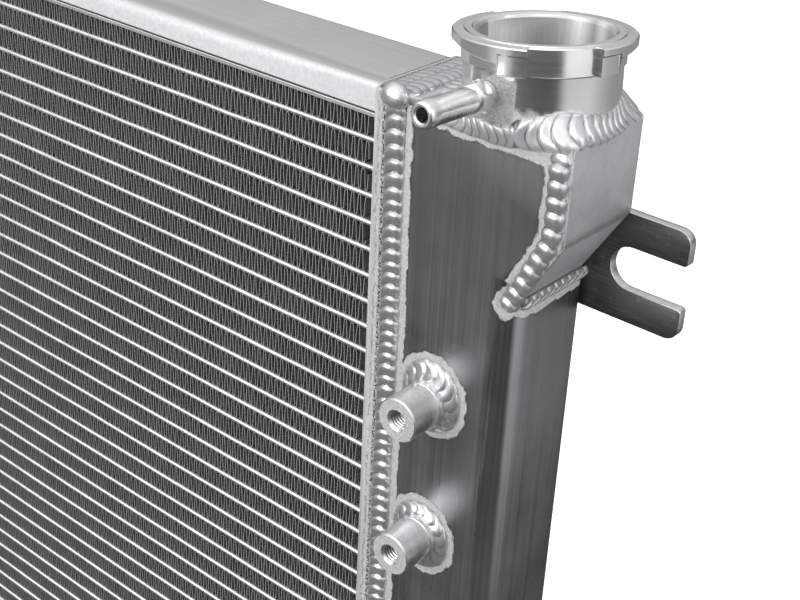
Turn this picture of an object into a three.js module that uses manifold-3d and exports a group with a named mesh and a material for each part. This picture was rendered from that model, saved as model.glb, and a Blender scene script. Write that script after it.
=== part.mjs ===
// Welded aluminium cross-flow radiator for a car.
// Millimetres, +Z up. X runs along the core from tank to tank, -Y is the front face.
// The origin is the middle of the bottom rail's underside, at half the core's depth.

import * as THREE from 'three';
import { mergeGeometries, mergeVertices } from 'three/addons/utils/BufferGeometryUtils.js';
import Module from 'manifold-3d';

const wasm = await Module();
wasm.setup();

// ---- driving dimensions -------------------------------------------------------------

const GAP = 0.3; // clearance kept between neighbouring pieces

// core
const CORE_HALF = 310; // half the distance between the two header plates
const CORE_DEPTH = 36;
const TUBE_COUNT = 43;
const TUBE_PITCH = 10.2;
const TUBE_THICK = 2;
const TUBE_NOSE = 0.65; // chamfer that rounds a tube's nose
const TUBE_WALL = 0.4;
const TUBE_WEB = 0.8; // folded web between a tube's two channels
const TUBE_OVERHANG = 6; // how far a tube runs past the header's inner face
const SIDE_PLATE_THICK = 1.5;

// rails
const RAIL_HEIGHT = 12;
const RAIL_WALL = 2.5;
const RAIL_RADIUS = 4;

// headers and tanks
const TANK_WIDTH = 62; // from the header's inner face to the tank's outer side
const TANK_DEPTH = 44;
const TANK_WALL = 3;
const TANK_RADIUS = 9;
const HEADER_THICK = 2.5;
const HEADER_FLANGE = 10.5;
const HEADER_RADIUS = 3;
const SEAM = 3; // open seam between header flange and tank, filled by the weld

// corner box that widens the top of the right tank under the filler neck
const BOX_WIDTH = 77.7; // from the header's inner face to the box's outer side
const BOX_CREASE_DROP = 31.8; // crease below the tank's top
const BOX_FOOT_DROP = 57.1; // foot of the sloping wall below the tank's top
const BOX_ROOT = 50; // where the box's front and back walls leave the tank's flat walls
const BOX_RADIUS = 9; // bend that turns the box's side plate round to the back
const BOX_BEAD_WIDTH = 7.2;
const BOX_BEAD_INSET = 1.7; // front bead's outer side from the box's side

// filler neck
const NECK_X = 50.1; // neck centre from the header's inner face
const NECK_Y = -0.95;
const NECK_HEIGHT = 25.6;
const NECK_SKIRT = 3; // extra length that is trimmed to the tank's top
const NECK_RADIUS = 24.9;
const NECK_BORE = 21;
const NECK_SEAT_RADIUS = 17;
const NECK_SEAT_HEIGHT = 5;
const NECK_LEAN_BACK = 0.046;
const NECK_LEAN_LEFT = 0.072;
const COLLAR_RADIUS = 25.6; // band under the rim, which the notches lay bare
const COLLAR_START = 16.3;
const RIM_RADIUS = 28.7;
const RIM_HEIGHT = 4.4;
const LIP_RADIUS = 25; // raised ring round the mouth
const LIP_HEIGHT = 0.5;
const NOTCH_START = -65.5;
const NOTCH_END = -18.5;
const STOP_RADIUS = 28.2; // stops that hang from the rim on both sides of each notch
const FIRST_STOP_START = -84;
const SECOND_STOP_END = -3;
const CAM_START = -140; // ramp under the rim that pulls a cap down
const CAM_END = -84;
const CAM_THIN = 2.6;
const CAM_THICK = 6;

// overflow nipple, screwed into a milled flat on the front of the neck
const NIPPLE_DROP = 17.1; // below the rim's top
const NIPPLE_OFFSET = -3.6; // to the left of the neck's axis
const NIPPLE_FLAT = 24; // neck axis to the milled flat
const NIPPLE_HEX_START = 27.6;
const NIPPLE_HEX_LENGTH = 4.4;
const NIPPLE_HEX_RADIUS = 6;
const NIPPLE_HEX_TURN = 6.4; // degrees
const NIPPLE_TIP = 54.9;
const NIPPLE_RADIUS = 4.4;
const NIPPLE_BORE = 2.3;
const NIPPLE_SHANK = 3.1;
const NIPPLE_CHAMFER = 1.1;

// threaded bosses on the front of both tanks
const BOSS_X = 30.6;
const BOSS_DROPS = [107.2, 164.2]; // below the tank's top
const BOSS_RADIUS = 8.5;
const BOSS_LENGTH = 18;
const BOSS_HOLE = 3.4;
const BOSS_HOLE_DEPTH = 13;

// fork brackets on the backs of the tanks
const FORK_THICK = 4;
const FORK_ROOT = 40;
const FORK_REACH = 97;
const FORK_TOP_DROP = 35.6;
const FORK_BOTTOM_DROP = 75.4;
const FORK_SLOT_HALF = 7.8;
const FORK_SLOT_CENTRE = 76.5;
const FORK_RADIUS = 5;

// hose necks, on the backs of the tanks
const HOSE_X = 36.5;
const HOSE_RADIUS = 16;
const HOSE_BORE = 13.5;
const HOSE_LENGTH = 48;
const HOSE_BEAD = 17.6;
const HOSE_BEAD_WIDTH = 4;
const INLET_DROP = 118;
const OUTLET_DROP = 400;

// drain: a bung welded low on the left tank's back, a wing screw and its seal
const DRAIN_X = 38;
const DRAIN_Z = 34;
const BUNG_RADIUS = 9;
const BUNG_BORE = 5;
const BUNG_LENGTH = 10;
const STEM_RADIUS = 4.4;
const STEM_INSIDE = 12;
const SEAL_INNER = 5;
const SEAL_OUTER = 7.2;
const SEAL_THICK = 1.2;
const STEM_FLANGE = 7.6;
const STEM_FLANGE_THICK = 2;
const WING_HALF = 11;
const WING_THICK = 3;
const WING_LENGTH = 11;

// locating pins under the tanks
const PIN_X = 38;
const PIN_RADIUS = 6;
const PIN_LENGTH = 18;
const PIN_CHAMFER = 1.5;

// welds
const BEAD_START = 6; // header weld, from the header's inner face
const BEAD_WIDTH = 9.5;
const BEAD_HEIGHT = 2.2;
const FILLET = 4.5;
const NECK_WELD_HEIGHT = 2;

const ROUND = 24; // sides of a turned piece
const FINE_ROUND = 48; // sides of the filler neck
const SMALL_ROUND = 16; // sides of a small weld ring
const CORNER_STEPS = 4;
const BOX_BEND_STEPS = 8;

// ---- places worked out from the driving dimensions ----------------------------------

const CORE_HEIGHT = (TUBE_COUNT + 1) * TUBE_PITCH;
const CORE_BOTTOM = RAIL_HEIGHT;
const CORE_TOP = CORE_BOTTOM + CORE_HEIGHT;
const TOP = CORE_TOP + RAIL_HEIGHT;
const FRONT = -TANK_DEPTH / 2;
const BACK = TANK_DEPTH / 2;
const SHELL_START = CORE_HALF + HEADER_FLANGE + SEAM;
const SHELL_END = CORE_HALF + TANK_WIDTH;
const SHELL_BOTTOM = TANK_WALL + GAP;
const SHELL_TOP = TOP - TANK_WALL - GAP;
const BOX_SIDE = CORE_HALF + BOX_WIDTH;
const BOX_CREASE = TOP - BOX_CREASE_DROP;
const BOX_FOOT = TOP - BOX_FOOT_DROP;
const FAR = 1000; // reach of a trimming block

// ---- solids -------------------------------------------------------------------------

// Merges the shared corners of a geometry, so that it is one closed skin.
function skin(geometry) {
  const bare = geometry.clone();
  bare.deleteAttribute('normal');
  bare.deleteAttribute('uv');
  return mergeVertices(bare);
}

function toSolid(geometry) {
  const bare = skin(geometry);
  const vertProperties = new Float32Array(bare.attributes.position.array);
  const triVerts = new Uint32Array(bare.index.array);
  return new wasm.Manifold(new wasm.Mesh({ numProp: 3, vertProperties, triVerts }));
}

function toGeometry(solid) {
  const mesh = solid.getMesh();
  const geometry = new THREE.BufferGeometry();
  geometry.setAttribute('position', new THREE.BufferAttribute(mesh.vertProperties, 3));
  geometry.setIndex(new THREE.BufferAttribute(mesh.triVerts, 1));
  return geometry;
}

function cut(geometry, ...tools) {
  const start = toSolid(geometry);
  return toGeometry(tools.reduce((solid, tool) => solid.subtract(toSolid(tool)), start));
}

function join(geometry, ...others) {
  const start = toSolid(geometry);
  return toGeometry(others.reduce((solid, other) => solid.add(toSolid(other)), start));
}

// The same geometry on the other side of the car, with its faces still pointing out.
function mirrored(geometry) {
  const copy = skin(geometry);
  copy.scale(-1, 1, 1);
  const index = copy.index.array;
  for (let i = 0; i < index.length; i += 3) {
    [index[i], index[i + 1]] = [index[i + 1], index[i]];
  }
  return copy;
}

function block(x0, x1, y0, y1, z0, z1) {
  const box = new THREE.BoxGeometry(x1 - x0, y1 - y0, z1 - z0);
  box.translate((x0 + x1) / 2, (y0 + y1) / 2, (z0 + z1) / 2);
  return box;
}

function polygon(points) {
  return new THREE.Shape(points.map(([x, y]) => new THREE.Vector2(x, y)));
}

// A rectangle with the radii of its four corners, starting at the low corner, anticlockwise.
function roundedRectangle(x0, x1, y0, y1, radii) {
  const [a, b, c, d] = radii;
  const shape = new THREE.Shape();
  shape.moveTo(x0 + a, y0);
  shape.lineTo(x1 - b, y0);
  if (b) shape.absarc(x1 - b, y0 + b, b, -Math.PI / 2, 0, false);
  shape.lineTo(x1, y1 - c);
  if (c) shape.absarc(x1 - c, y1 - c, c, 0, Math.PI / 2, false);
  shape.lineTo(x0 + d, y1);
  if (d) shape.absarc(x0 + d, y1 - d, d, Math.PI / 2, Math.PI, false);
  shape.lineTo(x0, y0 + a);
  if (a) shape.absarc(x0 + a, y0 + a, a, Math.PI, 1.5 * Math.PI, false);
  return shape;
}

function extrude(shape, depth, segments = CORNER_STEPS) {
  return new THREE.ExtrudeGeometry(shape, { depth, bevelEnabled: false, curveSegments: segments });
}

// A shape drawn in X and Y, from z0 to z1.
function prismZ(shape, z0, z1, segments) {
  const geometry = extrude(shape, z1 - z0, segments);
  geometry.translate(0, 0, z0);
  return geometry;
}

// A shape drawn in X and Z, from y0 to y1.
function prismY(shape, y0, y1, segments) {
  const geometry = extrude(shape, y1 - y0, segments);
  geometry.rotateX(Math.PI / 2);
  geometry.translate(0, y1, 0);
  return geometry;
}

// A shape drawn in Y and Z, from x0 to x1.
function prismX(shape, x0, x1, segments) {
  const geometry = extrude(shape, x1 - x0, segments);
  const across = new THREE.Vector3(0, 1, 0);
  const up = new THREE.Vector3(0, 0, 1);
  const along = new THREE.Vector3(1, 0, 0);
  geometry.applyMatrix4(new THREE.Matrix4().makeBasis(across, up, along));
  geometry.translate(x0, 0, 0);
  return geometry;
}

// A turned piece about +Z; the profile is [radius, height] with the material on its left.
function turned(profile, sides = ROUND) {
  const points = profile.map(([radius, height]) => new THREE.Vector2(radius, height));
  const geometry = new THREE.LatheGeometry(points, sides);
  geometry.rotateX(Math.PI / 2);
  return geometry;
}

function ring(inner, outer, height, sides = ROUND) {
  const profile = [[inner, 0], [outer, 0], [outer, height], [inner, height], [inner, 0]];
  return turned(profile, sides);
}

// A weld fillet around a round piece: three-cornered in section.
function filletRing(inner, leg, sides = SMALL_ROUND) {
  const start = inner + GAP;
  const profile = [[start, 0], [start + leg, 0], [start + leg / 2, leg / 2], [start, leg], [start, 0]];
  return turned(profile, sides);
}

// Stands a piece made about +Z on a tank's front or back wall.
function onFront(geometry, x, z) {
  geometry.rotateX(Math.PI / 2);
  geometry.translate(x, FRONT - GAP, z);
  return geometry;
}

function onBack(geometry, x, z) {
  geometry.rotateX(-Math.PI / 2);
  geometry.translate(x, BACK + GAP, z);
  return geometry;
}

// ---- core ---------------------------------------------------------------------------

function tubeLevel(index) {
  return CORE_BOTTOM + (index + 1) * TUBE_PITCH;
}

function tube(z) {
  const half = CORE_DEPTH / 2;
  const flat = TUBE_THICK / 2;
  const nose = flat - TUBE_NOSE;
  const end = CORE_HALF + TUBE_OVERHANG;
  const shape = polygon([
    [-half + TUBE_NOSE, z - flat], [half - TUBE_NOSE, z - flat], [half, z - nose], [half, z + nose],
    [half - TUBE_NOSE, z + flat], [-half + TUBE_NOSE, z + flat], [-half, z + nose], [-half, z - nose],
  ]);
  return prismX(shape, -end, end);
}

// A tube's two water channels, on either side of its folded web.
function channels(z) {
  const end = CORE_HALF + TUBE_OVERHANG + 1;
  const high = TUBE_THICK / 2 - TUBE_WALL;
  const near = TUBE_WEB / 2;
  const far = CORE_DEPTH / 2 - TUBE_NOSE - TUBE_WALL;
  return [block(-end, end, near, far, z - high, z + high), block(-end, end, -far, -near, z - high, z + high)];
}

// The fin strip under tube number i, held by a plain slab brazed to the tubes it touches.
function finSlab(i) {
  const reach = CORE_HALF - GAP;
  const half = CORE_DEPTH / 2 - GAP;
  const into = TUBE_WALL / 2;
  const edge = SIDE_PLATE_THICK / 2 + GAP;
  const low = i === 0 ? CORE_BOTTOM + edge : tubeLevel(i - 1) + TUBE_THICK / 2 - into;
  const high = i === TUBE_COUNT ? CORE_TOP - edge : tubeLevel(i) - TUBE_THICK / 2 + into;
  return block(-reach, reach, -half, half, low, high);
}

function coreMatrix() {
  const levels = Array.from({ length: TUBE_COUNT }, (_, i) => tubeLevel(i));
  const slabs = Array.from({ length: TUBE_COUNT + 1 }, (_, i) => finSlab(i));
  const solid = join(mergeGeometries(slabs), mergeGeometries(levels.map(tube)));
  return cut(solid, mergeGeometries(levels.flatMap(channels)));
}

function sidePlate(level) {
  const reach = CORE_HALF - GAP;
  const half = CORE_DEPTH / 2 - RAIL_WALL - GAP;
  const thick = SIDE_PLATE_THICK / 2;
  return block(-reach, reach, -half, half, level - thick, level + thick);
}

// A channel whose open side faces the core.
function railShape() {
  const half = CORE_DEPTH / 2;
  const inner = RAIL_RADIUS - RAIL_WALL;
  const shape = new THREE.Shape();
  shape.moveTo(-half, 0);
  shape.lineTo(-half + RAIL_WALL, 0);
  shape.lineTo(-half + RAIL_WALL, RAIL_HEIGHT - RAIL_RADIUS);
  shape.absarc(-half + RAIL_RADIUS, RAIL_HEIGHT - RAIL_RADIUS, inner, Math.PI, Math.PI / 2, true);
  shape.lineTo(half - RAIL_RADIUS, RAIL_HEIGHT - RAIL_WALL);
  shape.absarc(half - RAIL_RADIUS, RAIL_HEIGHT - RAIL_RADIUS, inner, Math.PI / 2, 0, true);
  shape.lineTo(half - RAIL_WALL, 0);
  shape.lineTo(half, 0);
  shape.lineTo(half, RAIL_HEIGHT - RAIL_RADIUS);
  shape.absarc(half - RAIL_RADIUS, RAIL_HEIGHT - RAIL_RADIUS, RAIL_RADIUS, 0, Math.PI / 2, false);
  shape.lineTo(-half + RAIL_RADIUS, RAIL_HEIGHT);
  shape.absarc(-half + RAIL_RADIUS, RAIL_HEIGHT - RAIL_RADIUS, RAIL_RADIUS, Math.PI / 2, Math.PI, false);
  return shape;
}

function topRail() {
  const rail = prismX(railShape(), -CORE_HALF + GAP, CORE_HALF - GAP);
  rail.translate(0, 0, CORE_TOP);
  return rail;
}

function bottomRail() {
  const rail = prismX(railShape(), -CORE_HALF + GAP, CORE_HALF - GAP);
  rail.rotateX(Math.PI);
  rail.translate(0, 0, CORE_BOTTOM);
  return rail;
}

// ---- headers and tanks --------------------------------------------------------------

// A pressed pan with a slot for every tube and a flange all round.
function headerPlate() {
  const r = HEADER_RADIUS;
  const inner = r / 2;
  const wall = HEADER_THICK;
  const outside = roundedRectangle(FRONT, BACK, 0, TOP, [r, r, r, r]);
  const inside = roundedRectangle(
    FRONT + wall, BACK - wall, wall, TOP - wall, [inner, inner, inner, inner],
  );
  const pan = prismX(outside, CORE_HALF, CORE_HALF + HEADER_FLANGE);
  const hollow = prismX(inside, CORE_HALF + wall, CORE_HALF + HEADER_FLANGE + GAP);
  const flat = TUBE_THICK / 2 + GAP;
  const half = CORE_DEPTH / 2 + GAP;
  const slots = [];
  for (let i = 0; i < TUBE_COUNT; i += 1) {
    const z = tubeLevel(i);
    const shape = polygon([
      [-half + TUBE_NOSE, z - flat], [half - TUBE_NOSE, z - flat], [half, z], [half - TUBE_NOSE, z + flat],
      [-half + TUBE_NOSE, z + flat], [-half, z],
    ]);
    slots.push(prismX(shape, CORE_HALF - GAP, CORE_HALF + wall + GAP));
  }
  return cut(pan, hollow, mergeGeometries(slots));
}

function shellOutline() {
  const r = TANK_RADIUS;
  const inner = TANK_RADIUS - TANK_WALL;
  const quarter = Math.PI / 2;
  const shape = new THREE.Shape();
  shape.moveTo(SHELL_START, FRONT);
  shape.lineTo(SHELL_END - r, FRONT);
  shape.absarc(SHELL_END - r, FRONT + r, r, -quarter, 0, false);
  shape.lineTo(SHELL_END, BACK - r);
  shape.absarc(SHELL_END - r, BACK - r, r, 0, quarter, false);
  shape.lineTo(SHELL_START, BACK);
  shape.lineTo(SHELL_START, BACK - TANK_WALL);
  shape.lineTo(SHELL_END - r, BACK - TANK_WALL);
  shape.absarc(SHELL_END - r, BACK - r, inner, quarter, 0, true);
  shape.lineTo(SHELL_END - TANK_WALL, FRONT + r);
  shape.absarc(SHELL_END - r, FRONT + r, inner, 0, -quarter, true);
  shape.lineTo(SHELL_START, FRONT + TANK_WALL);
  return shape;
}

// The corner box's sloping wall, as a line offset inwards: its X at a given Z.
function boxWallX(z, inset) {
  const run = BOX_SIDE - SHELL_END;
  const rise = BOX_CREASE - BOX_FOOT;
  const slant = Math.hypot(run, rise);
  const sloping = SHELL_END + ((z - BOX_FOOT) * run) / rise - (inset * slant) / rise;
  return Math.min(sloping, BOX_SIDE - inset);
}

// The height where the inset sloping wall reaches a given X.
function boxWallZ(x, inset) {
  const run = BOX_SIDE - SHELL_END;
  const rise = BOX_CREASE - BOX_FOOT;
  const slant = Math.hypot(run, rise);
  return BOX_FOOT + ((x - SHELL_END) * rise) / run + (inset * slant) / run;
}

// Front wall of the corner box.
function boxFrontWall() {
  const inset = TANK_WALL + GAP;
  const edge = BOX_SIDE - inset;
  const root = CORE_HALF + BOX_ROOT;
  const foot = boxWallZ(SHELL_END, inset);
  const shape = polygon([
    [root, foot], [boxWallX(foot, inset), foot], [edge, boxWallZ(edge, inset)], [edge, SHELL_TOP],
    [root, SHELL_TOP],
  ]);
  return prismY(shape, FRONT, FRONT + TANK_WALL);
}

// Back wall of the corner box, up to the seam with the bent plate.
function boxBackWall() {
  const root = CORE_HALF + BOX_ROOT;
  const foot = boxWallZ(SHELL_END, TANK_WALL + GAP);
  const bend = BOX_RADIUS + GAP;
  const shape = polygon([
    [root, foot], [boxWallX(foot, 0) - bend, foot], [BOX_SIDE - bend, BOX_CREASE],
    [BOX_SIDE - bend, SHELL_TOP], [root, SHELL_TOP],
  ]);
  return prismY(shape, BACK - TANK_WALL, BACK);
}

function plainShell() {
  return prismZ(shellOutline(), SHELL_BOTTOM, SHELL_TOP);
}

function rightTankShell() {
  const foot = boxWallZ(SHELL_END, TANK_WALL + GAP);
  const window = block(CORE_HALF + BOX_ROOT, FAR, FRONT - 1, BACK + 1, foot, TOP);
  const open = cut(plainShell(), window);
  const walled = join(open, boxFrontWall(), boxBackWall());
  const port = turned([[0, 0], [HOSE_BORE, 0], [HOSE_BORE, TANK_WALL * 3], [0, TANK_WALL * 3]]);
  port.rotateX(-Math.PI / 2);
  port.translate(CORE_HALF + HOSE_X, BACK - TANK_WALL * 2, TOP - OUTLET_DROP);
  return cut(walled, port);
}

function leftTankShell() {
  const inlet = turned([[0, 0], [HOSE_BORE, 0], [HOSE_BORE, TANK_WALL * 3], [0, TANK_WALL * 3]]);
  inlet.rotateX(-Math.PI / 2);
  inlet.translate(CORE_HALF + HOSE_X, BACK - TANK_WALL * 2, TOP - INLET_DROP);
  const drain = turned([[0, 0], [BUNG_BORE, 0], [BUNG_BORE, TANK_WALL * 3], [0, TANK_WALL * 3]]);
  drain.rotateX(-Math.PI / 2);
  drain.translate(CORE_HALF + DRAIN_X, BACK - TANK_WALL * 2, DRAIN_Z);
  return mirrored(cut(plainShell(), inlet, drain));
}

function endPlate(width, radius, z0) {
  const corners = [0, radius, radius, 0];
  const shape = roundedRectangle(SHELL_START, CORE_HALF + width, FRONT, BACK, corners);
  return prismZ(shape, z0, z0 + TANK_WALL);
}

function rightTopPlate() {
  const shape = roundedRectangle(SHELL_START, BOX_SIDE, FRONT, BACK, [0, TANK_WALL, BOX_RADIUS, 0]);
  const mouth = new THREE.Path();
  mouth.absarc(CORE_HALF + NECK_X, NECK_Y, NECK_SEAT_RADIUS, 0, 2 * Math.PI, true);
  shape.holes.push(mouth);
  return prismZ(shape, TOP - TANK_WALL, TOP, ROUND / 2);
}

// A solid whose level outlines, all with the same number of corners, are given bottom to top.
function loft(outlines, levels) {
  const sides = outlines[0].length;
  const positions = [];
  outlines.forEach((outline, i) => outline.forEach(([x, y]) => positions.push(x, y, levels[i])));
  const index = [];
  const last = (outlines.length - 1) * sides;
  for (let i = 0; i < last; i += sides) {
    for (let j = 0; j < sides; j += 1) {
      const k = (j + 1) % sides;
      index.push(i + j, i + k, i + sides + k, i + j, i + sides + k, i + sides + j);
    }
  }
  for (let j = 1; j < sides - 1; j += 1) {
    index.push(0, j + 1, j, last, last + j, last + j + 1);
  }
  const geometry = new THREE.BufferGeometry();
  geometry.setAttribute('position', new THREE.Float32BufferAttribute(positions, 3));
  geometry.setIndex(index);
  return geometry;
}

// The corner box's level outline, its back corner rounded, inset by a wall's thickness.
function boxOutline(z, inset, front) {
  const side = boxWallX(z, inset);
  const radius = BOX_RADIUS - inset;
  const corner = roundedRectangle(CORE_HALF + BOX_ROOT, side, front, BACK - inset, [0, 0, radius, 0]);
  return corner.extractPoints(BOX_BEND_STEPS).shape.map((point) => [point.x, point.y]);
}

function boxBody(inset, front, low, high) {
  const levels = [low, boxWallZ(BOX_SIDE - inset, inset), high];
  return loft(levels.map((z) => boxOutline(z, inset, front)), levels);
}

// The side plate, bent in over the foot and round to the back.
function cornerBoxPlate() {
  const outside = boxBody(0, FRONT, BOX_FOOT, SHELL_TOP);
  const inside = boxBody(TANK_WALL, FRONT - 1, BOX_FOOT - 1, SHELL_TOP + 1);
  const radius = TANK_RADIUS + GAP;
  const tank = roundedRectangle(
    SHELL_START, SHELL_END + GAP, FRONT - GAP, BACK + GAP, [0, radius, radius, 0],
  );
  const below = prismZ(tank, 0, boxWallZ(SHELL_END, TANK_WALL + GAP) + GAP, BOX_BEND_STEPS);
  const root = CORE_HALF + BOX_ROOT - 1;
  const seam = polygon([
    [root, BOX_FOOT - 1], [boxWallX(BOX_FOOT - 1, 0) - BOX_RADIUS, BOX_FOOT - 1],
    [BOX_SIDE - BOX_RADIUS, BOX_CREASE], [BOX_SIDE - BOX_RADIUS, TOP], [root, TOP],
  ]);
  return cut(outside, inside, below, prismY(seam, FRONT - 1, BACK + 1));
}

// ---- filler neck --------------------------------------------------------------------

// Leans a piece made about +Z at the origin, and stands it on the right tank's top.
function standNeck(geometry) {
  geometry.rotateX(-NECK_LEAN_BACK);
  geometry.rotateY(-NECK_LEAN_LEFT);
  geometry.translate(CORE_HALF + NECK_X, NECK_Y, TOP);
  return geometry;
}

function trimToTop(geometry) {
  return cut(geometry, block(0, FAR, -FAR, FAR, 0, TOP + GAP));
}

// A sector between two radii, angles in degrees.
function sector(inner, outer, start, end, low, high) {
  const from = THREE.MathUtils.degToRad(start);
  const to = THREE.MathUtils.degToRad(end);
  const shape = new THREE.Shape();
  shape.absarc(0, 0, outer, from, to, false);
  shape.absarc(0, 0, inner, to, from, true);
  return prismZ(shape, low, high);
}

// The rim's thickness at an angle; both halves of the rim are alike.
function rimThickness(angle) {
  const half = 180;
  const turn = ((angle % half) + half) % half;
  const start = CAM_START + half;
  const end = CAM_END + half;
  if (turn < start) return THREE.MathUtils.mapLinear(turn, 0, start, RIM_HEIGHT, CAM_THIN);
  if (turn < end) return THREE.MathUtils.mapLinear(turn, start, end, CAM_THIN, CAM_THICK);
  return THREE.MathUtils.clamp(
    THREE.MathUtils.mapLinear(turn, end, NOTCH_START + half, CAM_THICK, RIM_HEIGHT), RIM_HEIGHT, CAM_THICK,
  );
}

// Moves the rim's underside to the cam's height.
function raiseCam(geometry) {
  const places = geometry.attributes.position;
  const under = NECK_HEIGHT - RIM_HEIGHT;
  for (let i = 0; i < places.count; i += 1) {
    if (Math.abs(places.getZ(i) - under) < GAP) {
      const angle = THREE.MathUtils.radToDeg(Math.atan2(places.getY(i), places.getX(i)));
      places.setZ(i, NECK_HEIGHT - rimThickness(angle));
    }
  }
  return geometry;
}

function fillerNeck() {
  const under = NECK_HEIGHT - RIM_HEIGHT;
  const lip = NECK_HEIGHT - LIP_HEIGHT;
  const body = raiseCam(turned([
    [NECK_SEAT_RADIUS, -NECK_SKIRT], [NECK_RADIUS, -NECK_SKIRT], [NECK_RADIUS, COLLAR_START],
    [COLLAR_RADIUS, COLLAR_START], [COLLAR_RADIUS, under], [RIM_RADIUS, under], [RIM_RADIUS, lip],
    [LIP_RADIUS, lip], [LIP_RADIUS, NECK_HEIGHT], [NECK_BORE, NECK_HEIGHT], [NECK_BORE, NECK_SEAT_HEIGHT],
    [NECK_SEAT_RADIUS, NECK_SEAT_HEIGHT], [NECK_SEAT_RADIUS, -NECK_SKIRT],
  ], FINE_ROUND));
  const half = 180;
  const tools = [];
  const stops = [];
  [0, half].forEach((turn) => {
    const start = NOTCH_START + turn;
    const end = NOTCH_END + turn;
    const high = NECK_HEIGHT - RIM_HEIGHT / 2;
    tools.push(sector(COLLAR_RADIUS, RIM_RADIUS + 1, start, end, 0, NECK_HEIGHT + 1));
    stops.push(
      sector(NECK_RADIUS - 1, STOP_RADIUS, FIRST_STOP_START + turn, start, COLLAR_START, high),
      sector(NECK_RADIUS - 1, STOP_RADIUS, end, SECOND_STOP_END + turn, COLLAR_START, high),
    );
  });
  const flat = block(
    -NECK_RADIUS / 2, NECK_RADIUS / 2, -NECK_RADIUS - GAP, -NIPPLE_FLAT, -NECK_SKIRT - 1, COLLAR_START,
  );
  const hole = turned([[0, 0], [NIPPLE_SHANK + GAP, 0], [NIPPLE_SHANK + GAP, NECK_RADIUS], [0, NECK_RADIUS]]);
  hole.rotateX(Math.PI / 2);
  hole.translate(NIPPLE_OFFSET, -NECK_BORE / 2, NECK_HEIGHT - NIPPLE_DROP);
  return trimToTop(standNeck(cut(join(body, ...stops), ...tools, flat, hole)));
}

function neckWeld() {
  const inner = NECK_RADIUS + GAP;
  const profile = [
    [inner, -NECK_SKIRT], [inner + FILLET, -NECK_SKIRT], [inner + FILLET, 1], [inner, NECK_WELD_HEIGHT],
    [inner, -NECK_SKIRT],
  ];
  return trimToTop(standNeck(turned(profile, FINE_ROUND / 2)));
}

function overflowNipple() {
  const foot = NIPPLE_FLAT + GAP;
  const hexEnd = NIPPLE_HEX_START + NIPPLE_HEX_LENGTH;
  const chamfer = NIPPLE_CHAMFER;
  const profile = [
    [NIPPLE_BORE, NECK_BORE + GAP], [NIPPLE_SHANK, NECK_BORE + GAP], [NIPPLE_SHANK, foot],
    [NIPPLE_RADIUS, foot], [NIPPLE_RADIUS, NIPPLE_TIP - chamfer],
    [NIPPLE_RADIUS - chamfer, NIPPLE_TIP], [NIPPLE_BORE, NIPPLE_TIP], [NIPPLE_BORE, NECK_BORE + GAP],
  ];
  const sides = 6;
  const hex = turned([
    [NIPPLE_SHANK, NIPPLE_HEX_START], [NIPPLE_HEX_RADIUS, NIPPLE_HEX_START],
    [NIPPLE_HEX_RADIUS, hexEnd], [NIPPLE_SHANK, hexEnd], [NIPPLE_SHANK, NIPPLE_HEX_START],
  ], sides);
  hex.rotateZ(Math.PI / 2 - THREE.MathUtils.degToRad(NIPPLE_HEX_TURN));
  const nipple = join(turned(profile), hex);
  nipple.rotateX(Math.PI / 2);
  nipple.translate(NIPPLE_OFFSET, 0, NECK_HEIGHT - NIPPLE_DROP);
  return standNeck(nipple);
}

// ---- bosses, brackets, hose necks, pins ----------------------------------------------

function boss(drop) {
  const hole = BOSS_LENGTH - BOSS_HOLE_DEPTH;
  const profile = [
    [0, 0], [BOSS_RADIUS, 0], [BOSS_RADIUS, BOSS_LENGTH], [BOSS_HOLE, BOSS_LENGTH], [BOSS_HOLE, hole], [0, hole],
  ];
  return onFront(turned(profile), CORE_HALF + BOSS_X, TOP - drop);
}

function bossWeld(drop) {
  return onFront(filletRing(BOSS_RADIUS, FILLET), CORE_HALF + BOSS_X, TOP - drop);
}

function forkBracket() {
  const x0 = CORE_HALF + FORK_ROOT;
  const x1 = CORE_HALF + FORK_REACH;
  const z0 = TOP - FORK_BOTTOM_DROP;
  const z1 = TOP - FORK_TOP_DROP;
  const middle = (z0 + z1) / 2;
  const r = FORK_RADIUS;
  const slot = FORK_SLOT_HALF;
  const end = CORE_HALF + FORK_SLOT_CENTRE;
  const quarter = Math.PI / 2;
  const shape = new THREE.Shape();
  shape.moveTo(x0, z0);
  shape.lineTo(x1 - r, z0);
  shape.absarc(x1 - r, z0 + r, r, -quarter, 0, false);
  shape.lineTo(x1, middle - slot - 1);
  shape.lineTo(x1 - 1, middle - slot);
  shape.lineTo(end, middle - slot);
  shape.absarc(end, middle, slot, -quarter, quarter, true);
  shape.lineTo(x1 - 1, middle + slot);
  shape.lineTo(x1, middle + slot + 1);
  shape.lineTo(x1, z1 - r);
  shape.absarc(x1 - r, z1 - r, r, 0, quarter, false);
  shape.lineTo(x0, z1);
  const steps = 8;
  return prismY(shape, BACK + GAP, BACK + GAP + FORK_THICK, steps);
}

// Fillet weld down the inner edge of a fork bracket.
function forkWeld() {
  const x = CORE_HALF + FORK_ROOT - GAP;
  const y = BACK + GAP;
  const shape = polygon([[x, y], [x, y + FORK_THICK], [x - FORK_THICK, y]]);
  return prismZ(shape, TOP - FORK_BOTTOM_DROP + GAP, TOP - FORK_TOP_DROP - GAP);
}

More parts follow.
